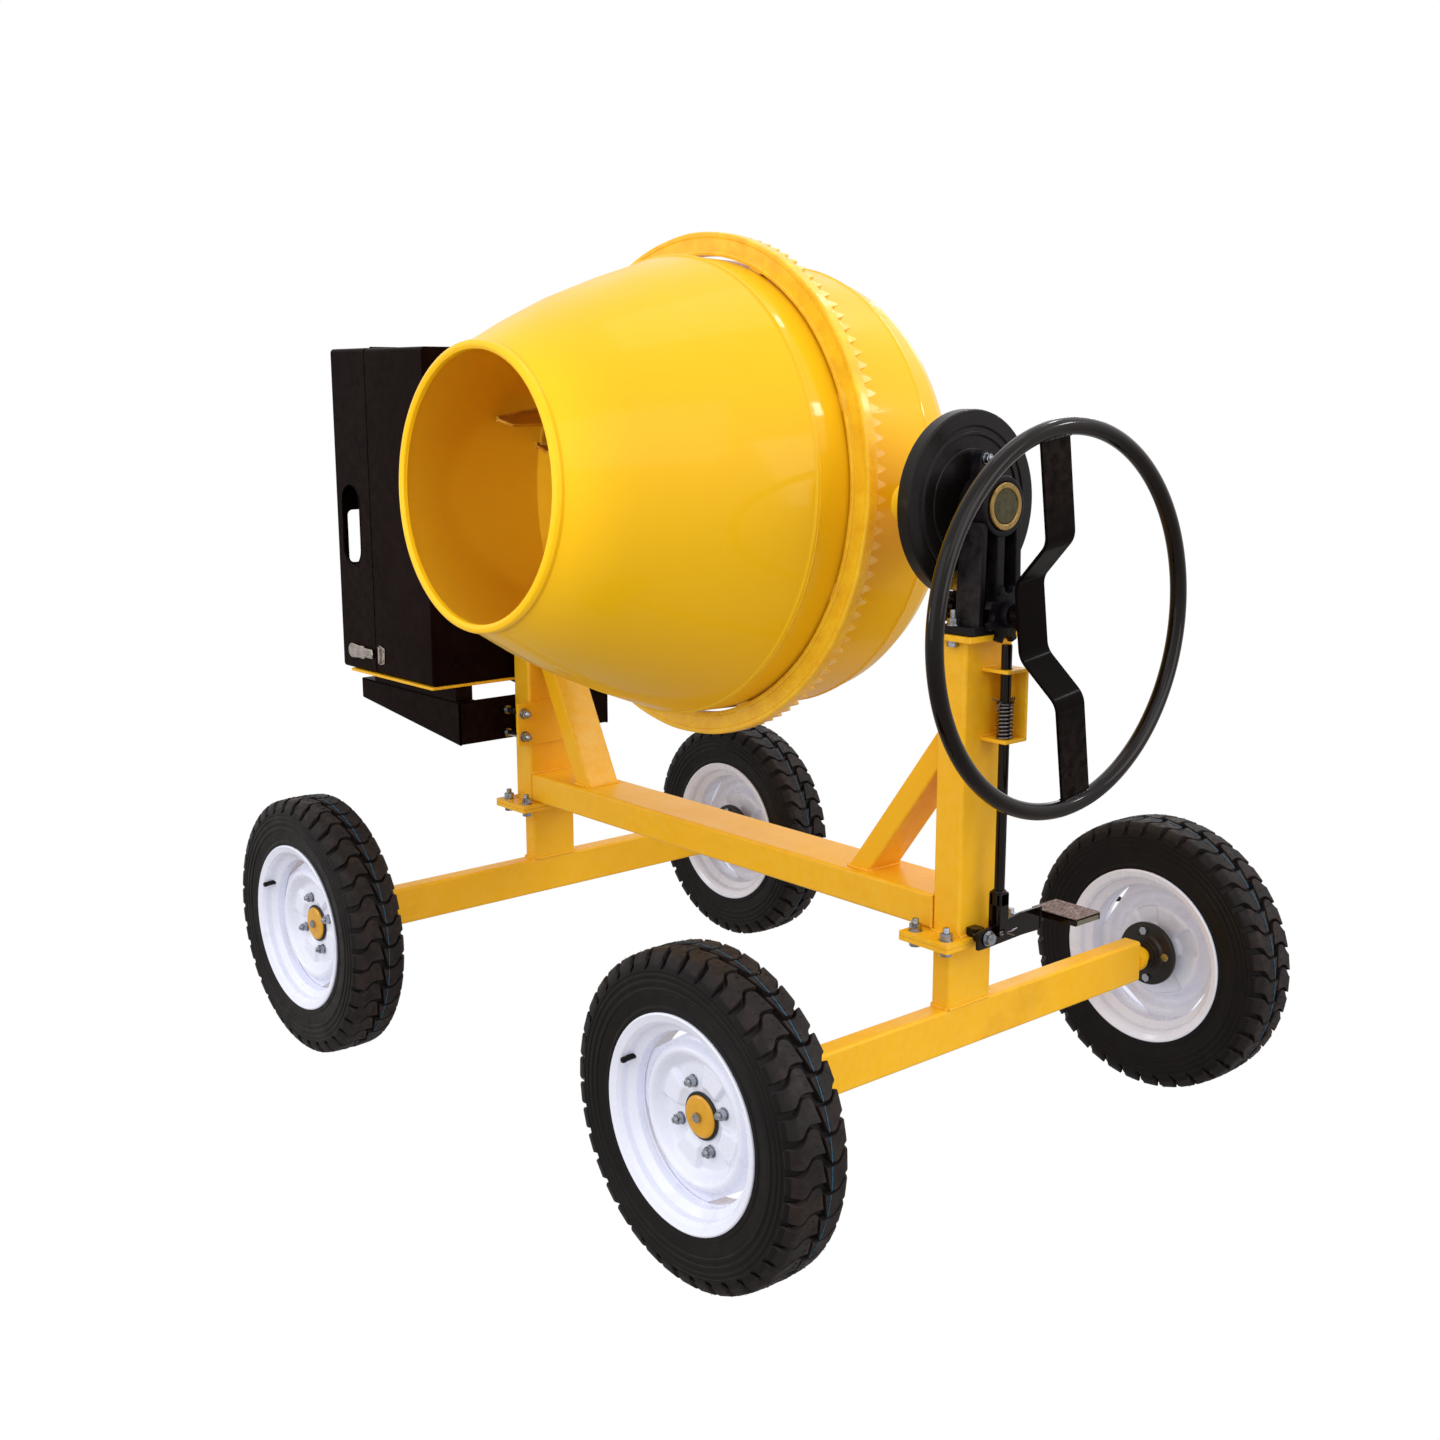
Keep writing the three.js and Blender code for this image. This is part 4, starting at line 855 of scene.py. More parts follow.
def pedestal(name, s, xe, shaft, node):
    T = None if s > 0 else mx
    p = Piece()
    p.put(prism("z", rect(616, xe, -72, 72, 7), 962.3, 977, 2.2, k=3), 0, T)
    p.put(prism("x", fillet([(-52, 972), (52, 972), (45, 1140), (-45, 1140)]), 647, 660, 2.0), 0, T)
    for sg in (-1, 1):
        rib = [(sg * 54, 972), (sg * 41, 972), (sg * 35, 1145), (sg * 48, 1145)]
        p.put(prism("x", rib, 634, xe - 3, 2.5, k=3), 0, T)
    p.put(cyl("x", 632, xe, (0, AXIS_Z), 50, 72, 3, r_in=39.3), 0, T)
    if shaft:
        p.put(cyl("x", 633, 686, (0, SHAFT_Z), 26, 56, 2.5, r_in=14.6), 0, T)
        p.put(prism("x", [(-9, 1016), (9, 1016), (9, 1124), (-9, 1124)], 656, 684, 2.5, k=3), 0, T)
        p.put(prism("x", [(-20, 972), (20, 972), (15, 984), (-15, 984)], 640, 684, 2, k=3), 0, T)
        p.put(prism("x", fillet([(-13, 1212), (13, 1212), (13, 1246), (9.2, 1255), (0, 1259), (-9.2, 1255), (-13, 1246)]), 624.5, 646, 2, k=3), 0, T)
    p.obj(name, "frame", CAST, "dark_casting", [node])
    p = Piece()
    for i, (x, y) in enumerate(((642, -68), (642, 68), (668, -68), (668, 68)) if False else ((642, -66), (642, 66))):
        bolt(p, (x * s, y, 977), "z", 11, 18, 9, True, 14, spin=14 * i + 8)
        bolt(p, (x * s, y, 952), "-z", 11, 18, 7, True, 0, spin=9 * i)
    if shaft: bolt(p, (646, 0, 1246), "x", 9, 15, 6, True, 5, spin=8)
    p.obj(name + "_bolts", "frame", ZINC, "bright_steel")
pedestal("pedestal_right_cast", 1, 688, True, "pedestal_right")
pedestal("pedestal_left_cast", -1, 677, False, "pedestal_left")
for side, s, x0, x1 in (("right", 1, 640, 692), ("left", -1, 636, 679)):
    p = Piece()
    p.put(lathe([(28.9, x0, .8), (38.8, x0, 1), (38.8, x1 - 1, 1.2), (37.5, x1, .8), (31, x1, .8), (28.9, x1 - 1.4, .6)], "x", (0, AXIS_Z), 80, 0, 3), 0, None if s > 0 else mx)
    p.obj("bushing_" + side + "_ring", "frame", BRASS, "trunnion_brass", ["bushing_" + side])
p = Piece()
p.put(lathe([(151.5, 594.8, .6), (155, 594.8, 1), (155, 620, 3.2), (129, 620, 2), (126.5, 617.2, 1), (121, 617.2, 1), (119, 619.8, 1.2), (114, 619.8, 1.2), (112, 616.6, 1), (92, 616.2), (90.5, 617.4, .6), (88, 617.4, .6), (86.5, 616.2, .6), (32.4, 616.2, .6), (32.4, 612, .6), (110, 612, 1), (114, 614.4, 1), (149, 614.6, 2)], "x", (0, AXIS_Z), 144, 0, 4))
for y0, z0, z1 in ((-52, 1104, 1266), (50, 1104, 1266)):
    p.put(prism("x", fillet([(y0 - 2, z0, 2), (y0 + 2, z0, 2), (y0 + 2.0, z1, 2), (y0 - 2, z1, 2)]), 616, 619.4, 1.2), 0)
guard = p.obj("tilt_guard_pressed", "frame", GRD, "black_paint", ["tilt_gear_guard"])
cut(guard, raw(prism("x", rect(-52, 52, 900, 1062), 585, 640, 0)))

def lobes():
    out = []
    for i in range(288):
        th = 2 * math.pi * i / 288
        f = (th + math.pi / 2 + math.pi / 8) % (math.pi / 4) - math.pi / 8
        r = 48.0
        s = 11.5 ** 2 - (46 * math.sin(f)) ** 2
        if s > 0: r = min(r, 46 * math.cos(f) - math.sqrt(s))
        out.append((r * math.cos(th), SHAFT_Z + r * math.sin(th)))
    return out
p = Piece()
p.put(prism("x", lobes(), 691, 703, 1.2, holes=[circ(0, SHAFT_Z, 14.3, 48)]))
p.put(cyl("x", 702.5, 716, (0, SHAFT_Z), 22, 48, 1.5, r_in=14.3))
p.obj("lock_disc_notched", "handwheel", CAST, "dark_casting", ["lock_disc"])
def spur(m, n, phase, tipw, rootw, add, ded):
    r = m * n / 2; q = 2 * math.pi / n; ro, ri = r + add * m, r - ded * m; P = []
    for i in range(n):
        a = i * q + phase * D
        for rr, w, s in ((ri, rootw, -1), (r, (tipw + rootw) / 2 * 1.04, -1), (ro, tipw * r / ro, -1), (ro, tipw * r / ro, 1), (r, (tipw + rootw) / 2 * 1.04, 1), (ri, rootw, 1)):
            P.append((rr * math.cos(a + s * q * w / 2), rr * math.sin(a + s * q * w / 2)))
    return P
p = Piece()
p.put(prism("x", [(u, v + SHAFT_Z) for u, v in spur(5, 14, 90 + 180 / 14, 0.16, 0.56, 0.88, 1.25)], 590, 605, 0.8))
p.put(cyl("x", 604, 743, (0, SHAFT_Z), 14, 48, 1.5))
p.put(cyl("x", 688.4, 690.6, (0, SHAFT_Z), 19, 40, 0.4))
p.obj("tilt_shaft_turned", "handwheel", CAST, "bright_steel", ["tilt_shaft"])
p = Piece()
p.put(prism("x", [(u, v + AXIS_Z) for u, v in spur(5, 56, -90 + 2.2, 0.2, 0.58, 0.88, 1.25)], 589, 606, 0.8, holes=[circ(0, AXIS_Z, 28.9, 56)]))
p.obj("tilt_gear_cut", "yoke", YCAST_LIT, "yellow_paint", ["tilt_gear"], T=tip)

def strip(path, t, r):
    """outline of a flat bar's edge: a bent centre line with thickness t"""
    c = np.array(fillet([(a, b, r) for a, b in path], closed=False, k=8))
    d = np.gradient(c, axis=0); d /= np.linalg.norm(d, axis=1, keepdims=True)
    n = np.stack([-d[:, 1], d[:, 0]], -1) * t / 2
    return [tuple(q) for q in np.vstack([c + n, (c - n)[::-1]])]
p = Piece()
a = np.linspace(0, 2 * math.pi, 193)[:-1]
ringpath = np.stack([np.full(192, 818.0), 306 * np.cos(a), SHAFT_Z + 306 * np.sin(a)], -1)
p.put(tube(ringpath, 14, 28, closed=True))
line = [(818, SHAFT_Z - 296), (818, SHAFT_Z - 130), (750, SHAFT_Z - 61), (750, SHAFT_Z + 61), (818, SHAFT_Z + 130), (818, SHAFT_Z + 296)]
p.put(prism("y", strip(line, 6, 34), -35, 35, 1.8, k=3), 1)
for z in (-1, 1):
    for x in (813.5, 822.5):
        weld(p, [x, -33, SHAFT_Z + z * 292.5], [x, 33, SHAFT_Z + z * 292.5], 3.2)
p.put(cyl("x", 726, 749, (0, SHAFT_Z), 24, 48, 2), 1)
ring_weld(p, "x", (0, SHAFT_Z), 746.4, 24.5, 2.6, 70)
p.obj("handwheel_ring", "handwheel", [WHEELBLK, BARBLK], "black_paint", ["handwheel"], T=lambda v: rotx(v, 8.4, SHAFT_Z), smooth=40)

# ------------------------------------------------------------------ foot lock
p = Piece()
p.put(cyl("z", 519, 945.5, (702, 0), 9, 32, 1.2))
for x0, x1 in ((689, 697.8), (706.2, 715)):
    p.put(prism("x", fillet([(-11, 445, 8), (11, 445, 8), (11, 522, 2), (-11, 522, 2)]), x0, x1, 1.2))
p.put(prism("z", rect(689, 715, -11, 11, 3), 500, 524, 1.5))
ring_weld(p, "z", (702, 0), 524.5, 10, 2.2, 40)
p.put(cyl("x", 687, 719, (0, 455), 4.5, 24, 0.8))
p.put(cyl("z", 847.6, 849.4, (702, 0), 15, 32, 0.5))
p.obj("lock_rod_bar", "lock_rod", WHEELBLK, "black_paint", ["lock_rod"])
p = Piece()
for q in ([(717, -7, 458), (717, -2, 456.5), (717, 6, 454), (717.4, 16, 453.6), (718, 30, 456.5)], [(717, -7, 452), (717, -2, 453.5), (717, 6, 452), (717.4, 14, 449), (718, 24, 445)]):
    p.put(tube(q, 1.2, 8))
p.put(tube([(717, -9.5 + 3 * math.cos(t), 455 + 3 * math.sin(t)) for t in np.linspace(0, 2 * math.pi, 17)[:-1]], 1.2, 8, closed=True))
# split pin through the rod above the spring, its two legs bent apart
pin = [(702, -12, 852), (702, 0, 852), (702, 12, 852), (702, 20, 852)]
p.put(tube([(701, 18, 852.6), (701, 8, 852.6), (701, -10, 852.6), (701, -20, 854), (700, -30, 858)], 1.3, 8))
p.put(tube([(703, 18, 851.4), (703, 8, 851.4), (703, -10, 851.4), (703.5, -16, 848), (704, -24, 838)], 1.3, 8))
aa = np.linspace(0, 2 * math.pi, 17)[:-1]
p.put(tube([(702, 20.5 + 2.8 * math.cos(t), 852 + 2.8 * math.sin(t)) for t in aa], 1.2, 8, closed=True))
p.obj("split_pin", "lock_rod", SPRING, "bright_steel")
p = Piece()
turns, n = 10.5, 360
t = np.linspace(0, 1, n)
zz = 790.2 + (847 - 790.2) * np.clip((t * turns - 0.8) / (turns - 1.6), 0, 1)
zz = zz + np.where(t * turns < 0.8, 0, 0)
coil = np.stack([702 + 12.6 * np.cos(2 * math.pi * turns * t), 12.6 * np.sin(2 * math.pi * turns * t), zz], -1)
p.put(tube(coil, 1.9, 10))
coil_o = p.obj("lock_spring_coil", "frame", SPRING, "bright_steel", ["lock_spring"], smooth=60)
# the spring's foot stays on the bracket and its head goes with the rod's washer
coil_o.parent = None
del coil_o["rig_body"]
coil_o.matrix_world = Matrix.Identity(4)
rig.blend(coil_o, "frame", "lock_rod", ((702 + SX) / 1000, 0, 0.7902), ((702 + SX) / 1000, 0, 0.847))
p = Piece()
hole = [circ(702, 0, 10.3, 32)]
for z in (782, 899):
    p.put(prism("z", fillet([(666.3, -20, 1), (722, -20, 5), (722, 33.8, 1), (666.3, 33.8, 1)]), z, z + 6, 1.0, holes=hole))
p.put(prism("y", rect(666.3, 722, 784, 903, 2), 28, 34, 1.0))
for z in (786, 901):
    weld(p, [667, -19, z + 4.2 if z > 800 else z + 2.6], [667, 27, z + 4.2 if z > 800 else z + 2.6], 2.2)
weld(p, [667.4, 35, 786], [667.4, 35, 902], 2.2)
p.obj("rod_bracket_bent", "frame", YFR, "yellow_paint", ["rod_bracket"])
p = Piece()
lev = fillet([(-54, 430, 3), (-54, 462, 3), (60, 475, 20), (114, 475, 1), (114, 433, 3), (62, 434, 20), (-30, 430, 12)])
p.put(prism("x", lev, 699.1, 704.9, 1.0, holes=[circ(-30, 448, 8.5, 32), circ(0, 455, 6.2, 28)]), 0)
p.put(prism("z", rect(684, 780, 110, 178, 3), 464, 470, 1.2), 1)
# the Y-side flanges take black, painted shade, and the +X flange the lighter olive-grey, painted light, on one folded
# pad
p.put(prism("y", fillet([(684, 456, 1), (780, 456, 1), (780, 469, 2), (684, 469, 2)]), 110, 115.5, 1.0), 0)
p.put(prism("y", fillet([(684, 456, 1), (780, 456, 1), (780, 469, 2), (684, 469, 2)]), 172.5, 178, 1.0), 0)
p.put(prism("x", fillet([(111, 456, 1), (177, 456, 1), (177, 469, 2), (111, 469, 2)]), 774.5, 780, 1.0), 2)
rng = np.random.RandomState(4)
for i in range(11):
    for j in range(8):
        x = 690 + i * 8.2 + (4.1 if j % 2 else 0) + rng.uniform(-0.8, 0.8); y = 115.5 + j * 8.1 + rng.uniform(-0.8, 0.8)
        if x < 776: p.put(prism("z", circ(x, y, rng.uniform(1.6, 2.6), 9), 469.2, 470 + rng.uniform(0.5, 1.3), 0.4), 1)
weld(p, [699, 110, 437], [699, 110, 472], 2.6, 0); weld(p, [705, 110, 437], [705, 110, 472], 2.6, 0)
p.obj("pedal_lever", "pedal", [WHEELBLK, PAD, PAD_LIT_SIDE], "black_paint", ["pedal"])
p = Piece()
p.put(prism("z", rect(666.3, 689, -42, -18, 3), 446, 461, 1.5), 0)
p.put(cyl("x", 682.4, 698.3, (-30, 448), 13, 32, 1.5), 0)
p.put(cyl("x", 690, 716, (-30, 448), 7.8, 32, 0.5), 1)
p.put(cyl("x", 706, 707.8, (-30, 448), 13.5, 32, 0.4), 1)
hexa(p, (707.8, -30, 448), "x", 19, 8, 12, 1)
p.obj("pedal_pivot_bolt", "frame", [WHEELBLK, ZINC], "bright_steel", ["pedal_pivot"])

# ------------------------------------------------------------------ yoke: bent bars, bosses, trunnions, bearing house
out = [(-545, -30), (-545, 124, 40), (-428, 300, 60), (-205, 404, 60), (205, 404, 60), (428, 300, 60), (545, 124, 40), (545, -30)]
inn = [(515, -30), (515, 114, 30), (408, 274, 45), (196, 372, 45), (-196, 372, 45), (-408, 274, 45), (-515, 114, 30), (-515, -30)]
p = Piece()
# a tapered round-edged bar sweeping round the back of the drum
def yoke_bar():
    po = np.array(fillet([q if len(q) == 3 else (*q, 0) for q in out], closed=False, k=8))
    pi_ = np.array(fillet([q if len(q) == 3 else (*q, 0) for q in inn], closed=False, k=8))[::-1]
    n = min(len(po), len(pi_))
    def res(a, n):
        L = np.concatenate([[0], np.cumsum(np.linalg.norm(np.diff(a, axis=0), axis=1))]); t = np.linspace(0, L[-1], n)
        return np.stack([np.interp(t, L, a[:, i]) for i in (0, 1)], -1)
    # matched by the bars' corners: both outlines have the same number of rounded corners
    po2, pi2 = po[:n], pi_[:n]
    secs = []
    for a, b in zip(po2, pi2):
        d = b - a; w = np.linalg.norm(d); d = d / w
        ring = []
        for u, z in fillet([(0, 1135, 7), (w, 1135, 7), (w, 1205, 7), (0, 1205, 7)], k=4):
            q = a + d * u
            ring.append((q[0], q[1], z))
        secs.append(ring)
    return loft(secs)
p.put(yoke_bar())
for s in (-1, 1):
    nose = [(-105 + 35 * math.cos(a), 1170 + 35 * math.sin(a)) for a in np.linspace(math.pi / 2, 3 * math.pi / 2, 33)] + [(-30, 1135), (-30, 1205)]
    p.put(prism("x", nose, 566 * s, 587 * s, 3, k=3), 0)
    p.put(cyl("x", 512 * s, 588 * s, (0, 1170), 48, 72, 4), 0)
    ring_weld(p, "x", (0, 1170), 545.5 * s, 48.5, 3.2, 120)
p.put(cyl("y", 335, 412, (0, 1170), 62, 72, 5, r_in=26), 0)
for z in (1134, 1206):
    ring_weld(p, "y", (0, 1170), 345, 62, 2.5, 140)
p.obj("yoke_bent", "yoke", YEL, "yellow_paint", ["yoke"], T=tip)
p = Piece()
for s in (-1, 1):
    p.put(cyl("x", 586 * s, (691 if s > 0 else 690) * s, (0, 1170), 28.5, 64, 2.0), 0)
p.obj("trunnion_ends", "yoke", OLIVE, "bright_steel", T=tip)

# ------------------------------------------------------------------ drum: shell, ring gear, blades
def wob(R, S, t):
    return R + 0.35 * np.sin(3 * t + S * 0.004) + 0.22 * np.sin(7 * t + 1.3) * (np.abs(S) < 900), S + 0.5 * np.sin(2 * t + 0.7) * (S < -500)
outer = [(232.5, -566, 2), (233, -574, 4), (240, -578.3, 5), (247.6, -575, 5), (250.4, -567, 5), (247, -560.5, 2.5), (246.0, -557.5, 1.5), (262, -532, 0), (300, -463, 0), (340, -380, 0), (380, -278, 0), (418, -166, 3), (421.6, -163.5, 1.5), (422, -161, 1), (422, -155, 1.2), (421, -153.5, 1),
         (421, 112, 1), (422, 113.5, 1), (422.3, 119, 1.4), (420.6, 122.5, 3), (416.5, 140, 20), (409.5, 167, 30), (393, 197, 30), (370, 225, 40), (338, 252, 30), (300, 274, 40), (258, 291.5, 30), (215, 304, 40), (120, 313, 0), (46.6, 318, 1)]
inner = [(46.6, 312, 1), (120, 307, 0), (214, 298, 30), (257, 285.5, 30), (297, 268.6, 30), (335, 246.5, 30), (365.4, 221, 30), (388, 193, 30), (403.2, 166, 30), (411, 140, 20), (415, 118, 3), (415, -156, 3), (412, -166, 0), (374, -280, 0), (334, -383, 0), (294, -467, 0), (256, -535, 0), (240.5, -560, 3)]
P_o, P_i = fillet(outer, closed=False, k=3), fillet(inner, closed=False, k=3)
vf = lathe(P_o + P_i, "y", (0, 1170), 192, 0, 1, wob=wob)
m = len(P_o) + len(P_i); mo = len(P_o)
# the inside faces take the brighter copy of the yellow paint, painted light for the shaded inside
mats = [0 if 5 <= (k % m) < mo - 1 else 1 if (k % m) >= mo - 1 and (k % m) < m - 1 else 0 for k in range(len(vf[1]))]
p = Piece()
p.put(vf, mats)
ring_weld(p, "y", (0, 1170), -158, 421.2, 1.6, 900, 0)
ring_weld(p, "y", (0, 1170), 117.6, 421.6, 1.2, 900, 0)
shell = p.obj("drum_shell_rolled", "drum", [YEL, INSIDE_LIT], "yellow_paint", ["drum_shell"], T=tip, smooth=30)
p = Piece()
p.put(lathe([(0.01, 330, 0), (46, 330, 2), (46, 311.5, 1), (0.01, 311.5, 0)], "y", (0, 1170), 64, 0, 3, closed=False), 0)
p.put(cyl("y", 330, 428, (0, 1170), 25.4, 56, 2.5), 0)
hexa(p, (0, 412.6, 1170), "y", 58, 9.4, 10, 0)
p.put(cyl("y", 411.6, 413, (0, 1170), 36, 48, 0.5), 0)
ring_weld(p, "y", (0, 1170), 318.5, 48, 3, 90)
p.obj("drum_shaft_turned", "drum", CAST, "bright_steel", T=tip)
# ring gear: smooth web, raised rough band, lip next to the shell, wedge teeth behind
p = Piece()
def gwob(R, S, t):
    return R + 0.5 * np.sin(9 * t) * (R > 460) + 0.35 * np.sin(23 * t + 2) * (R > 460), S + 0.25 * np.sin(17 * t + 1)
p.put(lathe([(425.6, -92.6, .8), (430, -93.4, 1.5), (433.5, -92.6, 1), (434.4, -88.6, 1), (457, -88.2, 1.5), (459.5, -89.8, 1.5), (466.4, -90.2, 2.4), (468.2, -86, 2), (468.4, -70, 2), (466.8, -66.6, 2), (430, -66.2, 1), (425.6, -67, 1)], "y", (0, 1170), 224, 0, 2, wob=gwob), 0)
N = 112
rng = np.random.RandomState(11)
for i in range(N):
    c = 2 * math.pi * i / N
    secs = []
    for r, k in ((430.5, 0.86), (440, 0.94), (455, 1.0), (464, 1.0), (466.4, 0.9)):
        ring = []
        for u, y in ((-9.3 * k, -67.2), (-8.4 * k, -63.5), (-3.0 * k, -49.4), (-1.6 * k, -46.6), (1.6 * k, -46.6), (3.0 * k, -49.4), (8.4 * k, -63.5), (9.3 * k, -67.2)):
            a = c + u / 450.0
            ring.append((r * math.cos(a), y, 1170 + r * math.sin(a)))
        secs.append(ring)
    p.put(loft(secs), 0)
for i in range(8):
    a = (22.5 + 45 * i) * D
    u = np.array([math.cos(a), 0, math.sin(a)]); t = np.array([-math.sin(a), 0, math.cos(a)])
    secs = []
    for y in (-90, -88, -70, -68):
        hw = 17 if -89 < y < -69 else 15.5
        secs.append([tuple(np.array([0, y, 1170]) + u * r + t * w) for r, w in ((421.6, -hw), (421.6, hw), (435.5, hw), (435.5, -hw))])
    p.put(loft(secs), 0)
p.obj("ring_gear_cast", "drum", YCAST_LIT, "yellow_paint", ["ring_gear"], T=tip, smooth=38)
# mixing blades
def wall_r(y):
    pts = [(-577, 234), (-566, 234), (-158, 414.4), (110, 414.4), (166, 402.6), (221, 364.8), (268, 296.4), (298, 213.4)]
    return float(np.interp(y, [a for a, b in pts], [b for a, b in pts]))
def stand(q, pts, deg, t=3.0):
    """a plate standing on the wall: outline of (station, radius) turned to deg about the drum axis"""
    a = deg * D; c, s_ = math.cos(a), math.sin(a)
    def T(v):
        x, y, r = v[:, 0], v[:, 1], v[:, 2]
        return np.stack([x * c - r * s_, y, 1170 - x * s_ - r * c], -1)
    q.put(prism("x", pts, -t, t, 1.1, k=3), 0, T)
    side = [pt for pt in pts if pt[1] > wall_r(pt[0]) - 9]
    ys = np.linspace(min(p_[0] for p_ in side), max(p_[0] for p_ in side), 110)
    for sg in (-1, 1):
        path = np.array([(sg * (t + 0.8), y, wall_r(y) + 0.2) for y in ys])
        q.put(tube(T(path), [2.5 + 0.6 * (k % 2) for k in range(len(path))], 8), 0)
def blade(i, deg):
    q = Piece()
    stand(q, fillet([(-313, 344.4, 0), (-158, 413.6, 0), (-140, 414.2, 0), (-140, 322, 5), (-226, 322, 10), (-298, 312, 7)]), deg + 10.5)
    stand(q, fillet([(-168, 409.2, 0), (-158, 413.6, 0), (110, 414.2, 0), (155, 404.6, 0), (150, 322, 8), (-100, 322, 12), (-188, 338, 6)]), deg)
    ts = [deg - 0.4 + 11.3 * j / 10 for j in range(11)]
    arc_ = lambda r: [(-r * math.sin(t * D), 1170 - r * math.cos(t * D)) for t in ts]
    q.put(prism("y", arc_(412) + arc_(405)[::-1], -156, -142, 0.8), 0)
    q.obj("blade_%d_plate" % i, "drum", BLADE_SHADED, "yellow_paint", ["blade_%d" % i], T=tip, smooth=30)
for i, a in ((1, 99.5), (2, 219.5), (3, 339.5)):
    blade(i, a)

# ------------------------------------------------------------------ engine side: housing, cover, latch, tray, base
def shell_box(name, x0, x1, y, z0, z1, t, open_side, body, slot, node, r=9):
    """sheet box open on one side: five walls as one solid with rounded outer edges"""
    p = Piece()
    rings_o, rings_i = [], []
    out = rect(-y, y, z0, z1, r, 6); inn = rect(-y + t, y - t, z0 + t, z1 - t, max(1, r - t), 6)
    back, front = (x1, x0) if open_side < 0 else (x0, x1)
    sg = 1 if front > back else -1
    secs = []
    def ring(P, x): return [(x, a, b) for a, b in P]
    e = 3.0
    for k in range(5):
        a = k / 4 * math.pi / 2
        d = e * (1 - math.sin(a)); P = offset(ccw(out), d)
        secs.append(ring([tuple(q) for q in P], back + sg * e * (1 - math.cos(a))))
    secs.append(ring(ccw(out), front - sg * 0.6)); secs.append(ring([tuple(q) for q in offset(ccw(out), 0.6)], front))
    secs.append(ring([tuple(q) for q in offset(ccw(inn), -0.6)], front)); secs.append(ring(ccw(inn), front - sg * 0.8))
    secs.append(ring(ccw(inn), back + sg * t))
    p.put(loft(secs))
    return p
p = shell_box("engine_housing", -925.7, -681, 260, 718, 1446, 3, -1, "frame", "black_paint", "engine_housing")
for yy in (-200, 200):
    for zz in (760, 1400):
        hexa(p, (-681, yy, zz), "x", 10, 4, 10)
hs = p.obj("engine_housing_sheet", "frame", BOX, "black_paint", ["engine_housing"])
cut(hs, raw(cyl("x", -700, -660, (0, 1170), 46, 64, 0)))
p = shell_box("engine_cover", -1079, -926, 261, 718, 1447, 3, 1, "engine_cover", "black_paint", "engine_cover")
cv = p.obj("engine_cover_sheet", "engine_cover", BOX, "black_paint", ["engine_cover"])
slotp = [(-1014 + 41 * math.cos(a), (1104 if math.sin(a) >= 0 else 1000) + 41 * math.sin(a)) for a in np.linspace(0, 2 * math.pi, 65)[:-1]]
cut(cv, raw(prism("y", slotp, -280, 280, 0)))
cut(cv, raw(prism("x", rect(-236, -110, 960, 1082, 12), -1100, -1065, 0)))
# rolled edges of the slots
p = Piece()
for yy in (-260.2, 260.2):
    p.put(tube([(u, yy, v) for u, v in slotp], 2.0, 10, closed=True))
p.obj("slot_edges", "engine_cover", BOX, "black_paint")
# hinge at the top edge of the cover
p = Piece()
for yy in np.arange(-210, 211, 140):
    p.put(cyl("y", yy - 34, yy + 34, (-926, 1447.6), 2.2, 16, 0.5))
p.obj("cover_hinge", "frame", BOX, "black_paint")
# toggle latch: a lever plate with a folded strap and a loop over the catch
p = Piece()
lv = [(-1022 + 17 * math.cos(a), 762 + 17 * math.sin(a)) for a in np.linspace(math.pi / 2, 3 * math.pi / 2, 19)]
lv = [tuple(q) for q in lv] + [(-975, 749), (-975, 775)]
p.put(prism("y", fillet([(x, z, 2.5) for x, z in lv]), -270, -262.2, 2.2, k=4), 0)
p.put(prism("y", rect(-1003, -930, 751, 773, 4), -268.6, -264.6, 1.4, k=3), 0)
p.put(prism("y", rect(-985, -966, 747, 777, 3), -269.6, -262.4, 1.4, k=3), 0)
p.put(tube([(-978, -268, 756), (-948, -268.4, 755), (-935, -268.2, 755.5), (-930, -267.6, 759), (-929.2, -267.4, 762), (-930, -267.6, 765), (-935, -268.2, 768.5), (-948, -268.4, 769), (-978, -268, 768)], 1.9, 10), 0)
p.put(cyl("y", -270.2, -267, (-1012, 762), 4.0, 20, 0.8), 0)
p.obj("latch_toggle", "latch", CHROME, "bright_steel", ["latch_lever"], smooth=40)
p = Piece()
p.put(prism("y", fillet([(-908, 740, 2), (-886, 744, 4), (-884, 780, 4), (-908, 786, 2)]), -262.4, -260.3, 0.8), 0)
p.put(prism("y", fillet([(-908, 742, 1), (-901, 745, 3), (-900, 779, 3), (-908, 783, 1)]), -266.8, -260.5, 1.6, k=3), 0)
for z in (752, 773):
    p.put(cyl("y", -264.4, -262, (-892, z), 3.0, 18, 0.9), 0)
p.obj("latch_catch_plate", "frame", CHROME, "bright_steel", ["latch_catch"], smooth=40)

# base plate under the box, tray with its side webs, clamp plate and studs
p = Piece()
p.put(prism("z", rect(-1040, -677, -264, 264, 3), 711.7, 717.7, 1.0), 0)
for s in (-1, 1):
    p.put(prism("z", rect(-1040, -680, 160 if s > 0 else -204, 204 if s > 0 else -160, 2), 680.3, 712.2, 1.2), 1)
p.obj("base_plate_steel", "frame", [YFR, BOX], "yellow_paint", ["base_plate"])
p = Piece()
x0, x1, z1 = -1101, -667, 680
zi, zo = 680 - 97, 680 - 46
for s in (-1, 1):
    y0, y1 = (199, 204) if s > 0 else (-204, -199)
    p.put(prism("y", fillet([(x0, z1, 3), (x1, z1, 1), (x1, zi, 1), (x0, zo, 3)]), y0, y1, 1.0), 0)
    a, b = (159, 204) if s > 0 else (-204, -159)
    p.put(prism("z", rect(x0, x1, a, b, 2), z1 - 5, z1, 1.5, k=3), 0)
    # return lip along the web's lower edge
    L = [(x0 + 2, zo + 0.5), (x1 - 1, zi + 0.5)]
    p.put(tube([(L[0][0], (y0 + y1) / 2, L[0][1]), (L[1][0], (y0 + y1) / 2, L[1][1])], 2.5, 10), 0)
